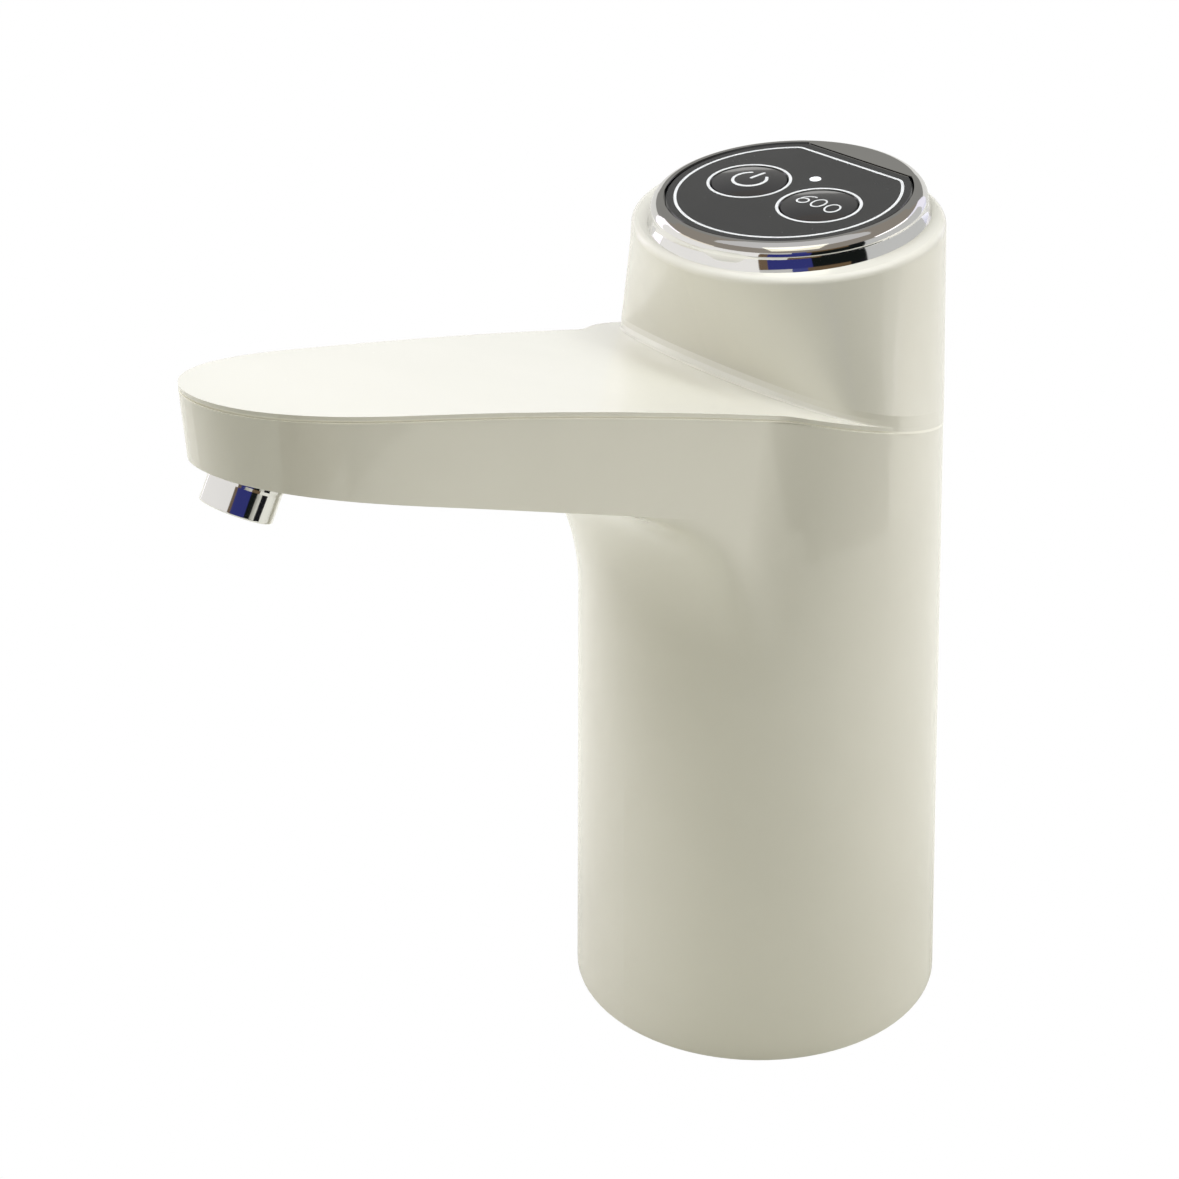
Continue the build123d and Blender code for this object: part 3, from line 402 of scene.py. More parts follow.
FINISHES: dict[str, Finish] = {
    "housing_white": Finish(
        (0.80, 0.785, 0.695), (0.78, 0.765, 0.675), rough=0.22, rough_spread=0.04, coat=0.8, coat_rough=0.04,
        grain=900.0, grain_depth=3e-7, dust=0.03, seam_glow=0.18,
    ),
    "panel_black": Finish(
        (0.014, 0.015, 0.016), (0.02, 0.021, 0.022), rough=0.24, rough_spread=0.05, coat=0.7, coat_rough=0.05,
        grain=1400.0, grain_depth=3e-7, dust=0.05,
    ),
    "button_black": Finish(
        (0.012, 0.012, 0.014), (0.018, 0.018, 0.021), rough=0.12, rough_spread=0.03, coat=1.0, coat_rough=0.02,
        grain=1400.0, grain_depth=2e-7, dust=0.03,
    ),
    "bezel_chrome": Finish(
        (0.83, 0.83, 0.82), (0.78, 0.78, 0.77), rough=0.06, rough_spread=0.03, metal=1.0,
        grain=1200.0, grain_depth=2e-7, dust=0.04,
    ),
    "nozzle_chrome": Finish(
        (0.83, 0.83, 0.82), (0.76, 0.76, 0.75), rough=0.07, rough_spread=0.04, metal=1.0,
        grain=1500.0, grain_depth=3e-7, dust=0.05,
    ),
    "light_clear": Finish((0.86, 0.88, 0.90), rough=0.2, coat=0.8, emission=0.9, cloud=300.0),
    "lamp": Finish((0.85, 0.87, 0.80), (0.8, 0.8, 0.6), rough=0.3, emission=0.5, cloud=300.0),
    "liner_dark": Finish((0.02, 0.02, 0.021), (0.03, 0.03, 0.032), rough=0.45, grain_depth=2e-6),
    "frame_grey": Finish((0.36, 0.37, 0.38), (0.32, 0.33, 0.34), rough=0.5, grain_depth=4e-6),
    "pump_plastic": Finish((0.24, 0.26, 0.29), (0.20, 0.22, 0.25), rough=0.42, grain_depth=3e-6),
    "gear_plastic": Finish((0.72, 0.70, 0.62), (0.66, 0.64, 0.56), rough=0.38, grain_depth=2e-6),
    "switch_black": Finish((0.02, 0.02, 0.021), (0.03, 0.03, 0.03), rough=0.4, grain_depth=3e-6),
    "board_green": Finish((0.012, 0.13, 0.045), (0.01, 0.10, 0.035), rough=0.3, coat=0.5, grain_depth=2e-6),
    "chip_black": Finish((0.015, 0.015, 0.016), (0.022, 0.022, 0.022), rough=0.5, grain_depth=3e-6),
    "silicone_clear": Finish(
        (0.62, 0.63, 0.60), (0.55, 0.56, 0.53), rough=0.35, coat=0.3, transmission=0.35, grain_depth=2e-6
    ),
    "seal_rubber": Finish((0.02, 0.02, 0.02), (0.028, 0.028, 0.028), rough=0.6, grain_depth=5e-6),
    "gasket_silicone": Finish((0.42, 0.43, 0.44), (0.38, 0.39, 0.40), rough=0.55, grain_depth=6e-6, dust=0.08),
    "steel": Finish((0.56, 0.55, 0.53), (0.48, 0.47, 0.45), rough=0.3, rough_spread=0.1, metal=1.0, grain_depth=2e-6),
    "motor_steel": Finish(
        (0.50, 0.50, 0.49), (0.42, 0.42, 0.41), rough=0.34, rough_spread=0.1, metal=1.0, grain_depth=3e-6
    ),
    "magnet": Finish((0.05, 0.05, 0.05), (0.07, 0.07, 0.07), rough=0.6, metal=0.3, grain_depth=6e-6),
    "copper": Finish(
        (0.75, 0.35, 0.16), (0.62, 0.28, 0.13), rough=0.32, rough_spread=0.1, metal=1.0, grain_depth=6e-6
    ),
    "cell_wrap": Finish((0.02, 0.09, 0.30), (0.02, 0.075, 0.26), rough=0.25, coat=0.6, grain_depth=2e-6),
    "tab_nickel": Finish((0.6, 0.58, 0.54), (0.5, 0.48, 0.45), rough=0.35, metal=1.0, grain_depth=2e-6),
    "ink_white": Finish((0.80, 0.81, 0.80), (0.72, 0.73, 0.72), rough=0.4, cloud=400.0, grain_depth=1e-6),
}


@dataclass(frozen=True)
class Dust:
    """Fine specks that lie in sparse patches.

    Attributes:
        color: their colour, linear.
        cells: specks per metre.
        speck: distances from a speck's centre at which it ends and is full.
        patches: patches per metre.
        patch: noise values at which a patch starts and is full.
        roughens: how much rougher the surface is under a speck.
    """

    color: tuple[float, float, float] = (0.55, 0.54, 0.50)
    cells: float = 700.0
    speck: tuple[float, float] = (0.11, 0.05)
    patches: float = 90.0
    patch: tuple[float, float] = (0.52, 0.68)
    roughens: float = 2.0

    def mask(self, graph: Graph, place: Socket) -> Socket:
        """Marks the specks.

        Args:
            graph: material's graph.
            place: point being shaded.

        Returns:
            1 on a speck and 0 elsewhere.
        """
        speck = graph.cells(place, self.cells).smooth(*self.speck)
        return speck * graph.noise(place, self.patches, 2.0).smooth(*self.patch)


def seam_mask(graph: Graph, place: Socket) -> Socket:
    """Marks the groove between the housings by its depth below the spout's top face.

    Args:
        graph: material's graph.
        place: point being shaded.

    Returns:
        1 in the groove and 0 elsewhere.
    """
    x, _, z = graph.axes(place)
    top = OUTSIDE.top_z * MM + OUTSIDE.top_rise * x - (OUTSIDE.top_crown / MM) * x * x
    depth = (top - z) * (1 / MM)
    return depth.smooth(*OUTSIDE.seam_high) * (1 - depth.smooth(*OUTSIDE.seam_low))


@dataclass
class Paint:
    """Makes each finish's procedural material once.

    Attributes:
        dust: the specks.
        cloud_edges: noise values between which the second colour sets in.
        rough_scale: how much finer the roughness varies than the colour.
        made: materials by finish.
    """

    dust: Dust = Dust()
    cloud_edges: tuple[float, float] = (0.35, 0.7)
    rough_scale: float = 4.0
    made: dict[str, bpy.types.Material] = field(default_factory=dict)

    def cover(self, target: bpy.types.Object, name: str) -> None:
        """Gives every material slot of an object the same finish.

        Args:
            target: mesh object.
            name: key of FINISHES.
        """
        if name not in self.made:
            self.made[name] = self._build(name, FINISHES[name])
        if not target.material_slots:
            target.data.materials.append(self.made[name])
        for each in target.material_slots:
            each.material = self.made[name]

    def _build(self, name: str, finish: Finish) -> bpy.types.Material:
        """Makes the material of a finish.

        Args:
            name: key of FINISHES.
            finish: the finish.

        Returns:
            The material.
        """
        material, graph = new_material(f"finish_{name}")
        place = graph.place()
        color: Value = opaque(finish.color)
        if finish.shade:
            cloud = graph.noise(place, finish.cloud, 3.0).smooth(*self.cloud_edges)
            color = graph.mix(cloud, color, opaque(finish.shade))
        spread = graph.noise(place, finish.cloud * self.rough_scale, 4.0) - 0.5
        rough = spread * (2 * finish.rough_spread) + finish.rough
        if finish.dust:
            dust = self.dust.mask(graph, place) * finish.dust
            color = graph.mix(dust, color, opaque(self.dust.color))
            rough = rough + dust * self.dust.roughens
        inputs: dict[Union[str, int], Value] = {
            "Base Color": color,
            "Roughness": rough,
            "Metallic": finish.metal,
            "Coat Weight": finish.coat,
            "Coat Roughness": finish.coat_rough,
            "Transmission Weight": finish.transmission,
        }
        if finish.emission:
            inputs.update({"Emission Color": opaque(finish.color), "Emission Strength": finish.emission})
        if finish.seam_glow:
            glow = graph.mix(seam_mask(graph, place), BLACK, opaque(finish.color))
            inputs.update({"Emission Color": glow, "Emission Strength": finish.seam_glow})
        if finish.grain_depth:
            inputs["Normal"] = graph.bump(graph.noise(place, finish.grain, 2.0), finish.grain_depth)
        graph.surface(graph.shader("ShaderNodeBsdfPrincipled", inputs))
        return material


# ---- shapes
@dataclass(frozen=True)
class HeadFrame:
    """Leaning frame of the control head, in millimetres: u towards the spout, v along Y, n outwards.

    Attributes:
        origin: middle of the head.
        lean: its lean towards the spout in degrees.
    """

    origin: tuple[float, float, float] = (-6.5, 0.0, 153.0)
    lean: float = 4.05

    def world(self, local: np.ndarray) -> np.ndarray:
        """Turns points from the head's frame into metres in the row's frame.

        Args:
            local: (..., 3) array of u, v, n in millimetres.

        Returns:
            (..., 3) array in metres.
        """
        c, s = math.cos(math.radians(self.lean)), math.sin(math.radians(self.lean))
        turn = np.array([[c, 0, s], [0, 1, 0], [-s, 0, c]])
        return (local @ turn.T + np.array(self.origin)) * MM


def grid_mesh(name: str, points: np.ndarray, wrap: tuple[bool, bool]) -> bpy.types.Object:
    """Makes a mesh from a grid of points.

    Args:
        name: name of the new object.
        points: (rows, columns, 3) array in metres.
        wrap: whether rows and columns close on themselves.

    Returns:
        The new object.
    """
    rows, columns = points.shape[:2]
    index = np.arange(rows * columns).reshape(rows, columns)
    down = np.roll(index, -1, 0)
    right = np.roll(index, -1, 1)
    across = np.roll(down, -1, 1)
    quads = np.stack([index, right, across, down], -1)
    quads = quads[: rows if wrap[0] else rows - 1, : columns if wrap[1] else columns - 1].reshape(-1, 4)
    mesh = bpy.data.meshes.new(name)
    mesh.vertices.add(rows * columns)
    mesh.vertices.foreach_set("co", points.reshape(-1).astype(np.float32))
    mesh.loops.add(quads.size)
    mesh.loops.foreach_set("vertex_index", quads.reshape(-1))
    mesh.polygons.add(len(quads))
    mesh.polygons.foreach_set("loop_start", np.arange(0, quads.size, 4))
    mesh.update(calc_edges=True)
    mesh.validate()
    mesh.shade_smooth()
    made = bpy.data.objects.new(name, mesh)
    bpy.context.scene.collection.objects.link(made)
    return made


@dataclass(frozen=True)
class Ink:
    """Section of the printed lines.

    Attributes:
        thick: height above the surface in millimetres.
        sunk: depth of its feet below the surface.
        shoulder: share of the half width at which the full height starts.
        end_points: points of a rounded end.
        narrowest: share of the half width that is left at an end.
    """

    thick: float = 0.02
    sunk: float = 0.02
    shoulder: float = 0.86
    end_points: int = 6
    narrowest: float = 0.02


INK = Ink()


@dataclass(frozen=True)
class Stroke:
    """Printed line in the head's frame.

    Attributes:
        path: (count, 2) array of u, v in millimetres.
        width: width of the line.
        closed: whether the path closes on itself.
    """

    path: np.ndarray
    width: float
    closed: bool = False

    def rounded(self) -> tuple[np.ndarray, np.ndarray]:
        """Adds the half circles at the ends of an open line.

        An end runs on by the cosine of an angle times the half width while the half width falls with its sine.

        Returns:
            The path, and the half width at each of its points.
        """
        half = np.full(len(self.path), self.width / 2)
        if self.closed:
            return self.path, half
        turn = np.linspace(0, np.pi / 2, INK.end_points + 1)[:-1, None]
        ends = []
        for tip, inner in ((self.path[0], self.path[1]), (self.path[-1], self.path[-2])):
            ends.append(tip + self.width / 2 * np.cos(turn) * (tip - inner) / np.linalg.norm(tip - inner))
        narrow = self.width / 2 * np.maximum(np.sin(turn[:, 0]), INK.narrowest)
        path = np.concatenate([ends[0], self.path, ends[1][::-1]])
        return path, np.concatenate([narrow, half, narrow[::-1]])


def oval(
    centre: tuple[float, float], radii: tuple[float, float], start: float, end: float, count: int
) -> np.ndarray:
    """Returns points along a part of an ellipse.

    Args:
        centre: u and v of the centre.
        radii: radii along u and v.
        start: first angle in degrees, from u towards v.
        end: last angle in degrees.
        count: number of points.

    Returns:
        (count, 2) array.
    """
    angle = np.radians(np.linspace(start, end, count))
    return np.stack([centre[0] + radii[0] * np.cos(angle), centre[1] + radii[1] * np.sin(angle)], -1)


def arc(centre: tuple[float, float], r: float, start: float, end: float, count: int) -> np.ndarray:
    """Returns points of an arc.

    Args:
        centre: u and v of the centre.
        r: radius.
        start: first angle in degrees, from u towards v.
        end: last angle in degrees.
        count: number of points.

    Returns:
        (count, 2) array.
    """
    return oval(centre, (r, r), start, end, count)


def print_stroke(
    name: str, stroke: Stroke, head: HeadFrame, height: Callable[[np.ndarray], np.ndarray]
) -> bpy.types.Object:
    """Lays a stroke on a surface as a thin band of ink with soft edges.

    The band's section has four points: both feet just under the surface, and both shoulders one ink thickness
    above it.

    Args:
        name: name of the new object.
        stroke: line to print.
        head: frame of the head.
        height: surface height n of (count, 2) points.

    Returns:
        The new object.
    """
    path, half = stroke.rounded()
    ahead = np.roll(path, -1, 0) - np.roll(path, 1, 0) if stroke.closed else np.gradient(path, axis=0)
    ahead /= np.linalg.norm(ahead, axis=1, keepdims=True)
    side = np.stack([-ahead[:, 1], ahead[:, 0]], -1)
    columns = []
    for share, lift in ((-1, -INK.sunk), (-INK.shoulder, INK.thick), (INK.shoulder, INK.thick), (1, -INK.sunk)):
        flat = path + side * (half * share)[:, None]
        columns.append(np.concatenate([flat, (height(flat) + lift)[:, None]], -1))
    points = head.world(np.stack(columns, 1)[:, ::-1])
    return grid_mesh(name, points, (stroke.closed, True))


# ---- blend under the spout
def ease(value: np.ndarray) -> np.ndarray:
    """Rises smoothly from 0 to 1 while the value does: three times its square less twice its cube.

    Args:
        value: array of any shape.

    Returns:
        The eased values.
    """
    t = np.clip(value, 0, 1)
    return t * t * (3 - 2 * t)


@dataclass(frozen=True)
class RootBlend:
    """Large soft blend between the body, the spout's sides and its underside, in millimetres.

    Attributes:
        r: radius of the blend against the underside.
        melt: how crisp the lower edges are where they run into the body; 2 is very soft.
        crisp_from: distance from the body at which they start to become crisp.
        proud: height above the solid's surface.
        sunk: depth of the patch's rim below that surface.
        reach: largest angle from X in degrees.
        foot: length of the patch below the blend.
        fade: distance over which the patch sinks at its rim.
        fade_angle: the same around the body, in degrees.
        columns: columns of the patch.
        rows: rows of each of its two long parts.
        tiny: smallest distance from the body.
    """

    r: float = 36.0
    melt: float = 1.4
    crisp_from: float = 6.0
    proud: float = 0.015
    sunk: float = 0.03
    reach: float = 80.0
    foot: float = 36.0
    fade: float = 12.0
    fade_angle: float = 16.0
    columns: int = 361
    rows: int = 64
    tiny: float = 1e-6

    def points(self) -> np.ndarray:
        """Works out the grid of the patch.

        Each column lies in a plane through the body's axis. It climbs the body and follows the circle that
        touches both the body's wall and the underside, but never leaves the outside: of the two distances from
        the body, to the circle and to the outside, it takes the p-norm of their inverses, which is the smaller
        one with the edge between them rounded. It then climbs the side to the seam. In the middle, where the
        circle ends on the underside, the last part has no length.

        Returns:
            (columns, rows, 3) array in millimetres.
        """
        angle = np.radians(np.linspace(-self.reach, self.reach, self.columns))[:, None]
        slope = OUTSIDE.under_rise * np.cos(angle)
        tilt = np.hypot(1, slope)
        taper = OUTSIDE.taper
        gap = self.r * math.hypot(1, taper) + taper * self.r * tilt
        centre_r = (OUTSIDE.foot_r + gap - taper * OUTSIDE.under_z) / (1 + taper * slope)
        centre_z = OUTSIDE.under_z + slope * centre_r - self.r * tilt
        first = math.pi + math.atan(taper)
        last = math.pi / 2 + np.arctan(slope)

        climb = np.linspace(0, 1, self.rows)[None]
        path = (self.r * (first - last) + self.foot) * climb - self.foot
        turn = first - np.maximum(path, 0) / self.r
        low_z = centre_z + self.r * np.sin(turn) + np.minimum(path, 0)
        body = OUTSIDE.body_r(low_z)
        arc_out = centre_r + self.r * np.cos(turn) - np.minimum(path, 0) * taper - body
        arc_out = np.maximum(arc_out, self.tiny)
        side_out = np.maximum(OUTSIDE.reach(angle, low_z) - body, self.tiny)
        crisp = self.melt + (arc_out / self.crisp_from) ** 2
        less, more = np.minimum(arc_out, side_out), np.maximum(arc_out, side_out)
        low_r = body + less * (1 + (less / more) ** crisp) ** (-1 / crisp)

        end_z = low_z[:, -1:]
        end_out = OUTSIDE.reach(angle, end_z)
        leaves = centre_r + self.r * np.cos(last) > end_out
        seam_z = OUTSIDE.top(end_out * np.cos(angle)) - OUTSIDE.split
        side_z = np.where(leaves, end_z + (seam_z - end_z) * climb[:, 1:], end_z)
        side_r = np.where(leaves, OUTSIDE.reach(angle, side_z), low_r[:, -1:])
        return self._laid(angle, np.concatenate([low_r, side_r], 1), np.concatenate([low_z, side_z], 1))

    def _laid(self, angle: np.ndarray, r: np.ndarray, z: np.ndarray) -> np.ndarray:
        """Lets the patch stand proud of the solid and sink under its surface towards the rim.

        Args:
            angle: angles from X in radians.
            r: distances from the body's axis.
            z: heights.

        Returns:
            (columns, rows, 3) array in millimetres.
        """
        x, y = r * np.cos(angle), r * np.sin(angle)
        shown = (
            ease((self.reach - np.degrees(np.abs(angle))) / self.fade_angle)
            * ease((z - z[:, :1]) / self.fade)
            * ease((OUTSIDE.straight_to + self.fade - x) / self.fade)
        )
        lift = (self.proud + self.sunk) * shown - self.sunk
        down = np.clip((x - OUTSIDE.body_r(z)) / self.r, 0, 1)
        shift = np.stack([np.cos(angle) * lift, np.sin(angle) * lift, -down * lift], -1)
        return np.stack([x, y, z], -1) + shift

    def build(self, paint: Paint) -> None:
        """Makes the patch and lets it ride on the body.

        Args:
            paint: material maker.
        """
        made = grid_mesh("spout_root_blend", self.points()[:, ::-1] * MM, (False, False))
        paint.cover(made, "housing_white")
        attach(made, "body")


# ---- bezel
@dataclass(frozen=True)
class BezelWall:
    """Plated wall that widens from under the bezel's lip to the housing's rim.

    Attributes:
        lip_r: radius under the lip.
        lip_n: height there in the head's frame.
        foot_r: radius at the rim.
        foot_n: height there.
        curl: how much steeper the wall starts than it ends.
        rows: rows of the wall.
        columns: columns around it.
    """

    lip_r: float = 24.05
    lip_n: float = 2.7
    foot_r: float = 25.2
    foot_n: float = -0.9
    curl: float = 1.7
    rows: int = 24
    columns: int = 192

    def build(self, head: HeadFrame, paint: Paint) -> None:
        """Makes the wall as a turned surface: its radius grows with a power of the way down.

        Args:
            head: frame of the head.
            paint: material maker.
        """
        down = np.linspace(0, 1, self.rows)[:, None]
        turn = np.radians(np.linspace(0, 360, self.columns, endpoint=False))[None]
        r = self.lip_r + (self.foot_r - self.lip_r) * down**self.curl
        n = self.lip_n + (self.foot_n - self.lip_n) * down + 0 * turn
        points = head.world(np.stack([r * np.cos(turn), r * np.sin(turn), n], -1))
        made = grid_mesh("bezel_wall", points[::-1], (False, True))
        paint.cover(made, "bezel_chrome")
        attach(made, "body")


# ---- control panel's print
class Button(Enum):
    """The two buttons: the body that carries each, and the side of the middle that it is on."""

    POWER = ("power_button", -1)
    VOLUME = ("volume_button", 1)

    def __init__(self, body: str, side: int) -> None:
        self.body = body
        self.side = side


@dataclass(frozen=True)
class PowerSign:
    """Generic power sign, an open ring with a bar.

    Attributes:
        shift: place of its middle along u, from the button's middle.
        r: radius of the ring.
        gap: half of the ring's opening in degrees.
        bar: distances from its middle at which the bar starts and ends.
        line: width of its lines.
    """

    shift: float = -0.15
    r: float = 3.0
    gap: float = 38.0
    bar: tuple[float, float] = (3.5, 0.4)
    line: float = 0.6

    def strokes(self, u: float, v: float) -> list[Stroke]:
        """Draws the sign with its bar pointing away from the spout.

        Args:
            u: place of the button's middle along u.
            v: its place along v.

        Returns:
            The lines.
        """
        u += self.shift
        ring = arc((u, v), self.r, 180 + self.gap, 540 - self.gap, 48)
        bar = np.stack([np.linspace(u - self.bar[0], u - self.bar[1], 12), np.full(12, v)], -1)
        return [Stroke(ring, self.line), Stroke(bar, self.line)]


@dataclass(frozen=True)
class Number:
    """Plain number drawn in strokes, read with the spout towards the reader.

    Attributes:
        digits: what it says, in sixes and noughts.
        height: height of a digit.
        width: width of a digit.
        gap: space between digits.
        line: width of the lines.
        nought: half height of a nought's ring as a share of the digit's height.
        six: the same of a six's ring.
        six_shift: how far a six's ring is moved down, as a share of the digit's height.
        tail_middle: middle of the curve that a six's tail follows, from the digit's middle.
        tail_r: radii of that curve along u and v.
        tail_turn: first and last angle of the tail in degrees.
    """

    digits: str = "600"
    height: float = 3.2
    width: float = 2.3
    gap: float = 0.9
    line: float = 0.36
    nought: float = 0.5
    six: float = 0.3
    six_shift: float = 0.2
    tail_middle: tuple[float, float] = (0.6, 1.0)
    tail_r: tuple[float, float] = (2.2, 2.15)
    tail_turn: tuple[float, float] = (175.0, 250.0)

    def strokes(self, u: float, v: float) -> list[Stroke]:
        """Draws the number.

        Args:
            u: place of the button's middle along u.
            v: its place along v.

        Returns:
            The lines.
        """
        made = []
        for place, digit in enumerate(self.digits):
            middle = v + (place - 1) * (self.width + self.gap)
            is_six = digit == "6"
            ring_u = u + self.height * (self.six_shift if is_six else 0)
            reach = self.height * (self.six if is_six else self.nought)
            made.append(Stroke(oval((ring_u, middle), (reach, self.width / 2), 0, 351, 40), self.line, True))
            if is_six:
                tail = (u + self.tail_middle[0], middle + self.tail_middle[1])
                made.append(Stroke(oval(tail, self.tail_r, *self.tail_turn, 16), self.line))
        return made


@dataclass
class Markings:
    """White print on the panel and on the two buttons.

    Attributes:
        head: frame of the head.
        paint: material maker.
        panel_n: height of the panel's face.
        line: width of the printed lines.
        outline_r: radius of the outline.
        chord_u: place of the outline's straight side.
        corner_r: radius of the outline's corners.
        button_r: radius of a button.
        button_ring_r: radius of the ring around a button.
        button_u: place of the buttons along u.
        button_v: distance of a button from the middle.
        crown: height of a button's dome.
        proud: height of a dome's rim above the panel.
    """

    head: HeadFrame
    paint: Paint
    panel_n: float = 4.2
    line: float = 0.55
    outline_r: float = 19.7
    chord_u: float = -15.5
    corner_r: float = 2.0
    button_r: float = 6.6
    button_ring_r: float = 7.24
    button_u: float = 1.15
    button_v: float = 8.5
    crown: float = 0.5
    proud: float = -0.1

    def flat(self, points: np.ndarray) -> np.ndarray:
        """Works out the height of the panel's level face.

        Args:
            points: (count, 2) array.

        Returns:
            (count,) array.
        """
        return np.full(len(points), self.panel_n)

    def dome(self, button: Button) -> Callable[[np.ndarray], np.ndarray]:
        """Makes the height of a button's dome: a sphere's cap over the button's circle.

        Args:
            button: the button.

        Returns:
            Function from (count, 2) points to heights.
        """
        sphere_r = (self.button_r**2 + self.crown**2) / (2 * self.crown)

        def height(points: np.ndarray) -> np.ndarray:
            away = np.hypot(points[:, 0] - self.button_u, points[:, 1] - button.side * self.button_v)
            return self.panel_n + self.proud + self.crown - sphere_r + np.sqrt(sphere_r**2 - away**2)

        return height

    def outline(self) -> Stroke:
        """Returns the line inside the panel's edge: a circle cut by a straight side with rounded corners."""
        corner_u = self.chord_u + self.corner_r
        corner_v = math.sqrt((self.outline_r - self.corner_r) ** 2 - corner_u**2)
        meet = math.degrees(math.atan2(corner_v, corner_u))
        big = arc((0, 0), self.outline_r, -meet, meet, 200)
        upper = arc((corner_u, corner_v), self.corner_r, meet, 180, 14)[1:]
        straight = np.stack([np.full(30, self.chord_u), np.linspace(corner_v, -corner_v, 32)[1:-1]], -1)
        lower = arc((corner_u, -corner_v), self.corner_r, 180, 360 - meet, 14)[:-1]
        return Stroke(np.concatenate([big, upper, straight, lower]), self.line, True)

    def build(self) -> None:
        """Prints everything."""
        self._lay("panel_outline", self.outline(), self.flat, "body")
        for button in Button:
            centre = (self.button_u, button.side * self.button_v)
            ring = Stroke(arc(centre, self.button_ring_r, 0, 357, 120), self.line, True)
            self._lay(f"{button.body}_ring", ring, self.flat, "body")
        for name, sign, button in (("power_sign", PowerSign(), Button.POWER), ("number", Number(), Button.VOLUME)):
            for index, stroke in enumerate(sign.strokes(self.button_u, button.side * self.button_v)):
                self._lay(f"{name}_{index}", stroke, self.dome(button), button.body)

    def _lay(self, name: str, stroke: Stroke, height: Callable[[np.ndarray], np.ndarray], body: str) -> None:
        """Prints a line and lets it ride on a body.

        Args:
            name: name of the new piece.
            stroke: line to print.
            height: surface height n of (count, 2) points.
            body: body that it rides on.
        """
        made = print_stroke(name, stroke, self.head, height)
        self.paint.cover(made, "ink_white")
        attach(made, body)


# ---- studio
@dataclass(frozen=True)
class Lamp:
    """Soft area lamp that faces the object.

    Attributes:
        name: name of the lamp.
        azimuth: direction that it stands in, in degrees from X towards Y.
        elevation: degrees above the object's middle.
        distance: metres from the object's middle.
        size: width and height in metres.
        power: watts.
        color: colour of its light.
        mirrored: whether shiny surfaces show it.
    """

    name: str
    azimuth: float
    elevation: float
    distance: float
    size: tuple[float, float]
    power: float
    color: tuple[float, float, float] = (1.0, 1.0, 1.0)
    mirrored: bool = True

    def place(self, middle: Vector) -> Vector:
        """Works out where the lamp stands.

        Args:
            middle: point that it faces, in metres.

        Returns:
            Its position in metres.
        """
        turn, rise = math.radians(self.azimuth), math.radians(self.elevation)
        level = self.distance * math.cos(rise)
        return middle + Vector((level * math.cos(turn), level * math.sin(turn), self.distance * math.sin(rise)))


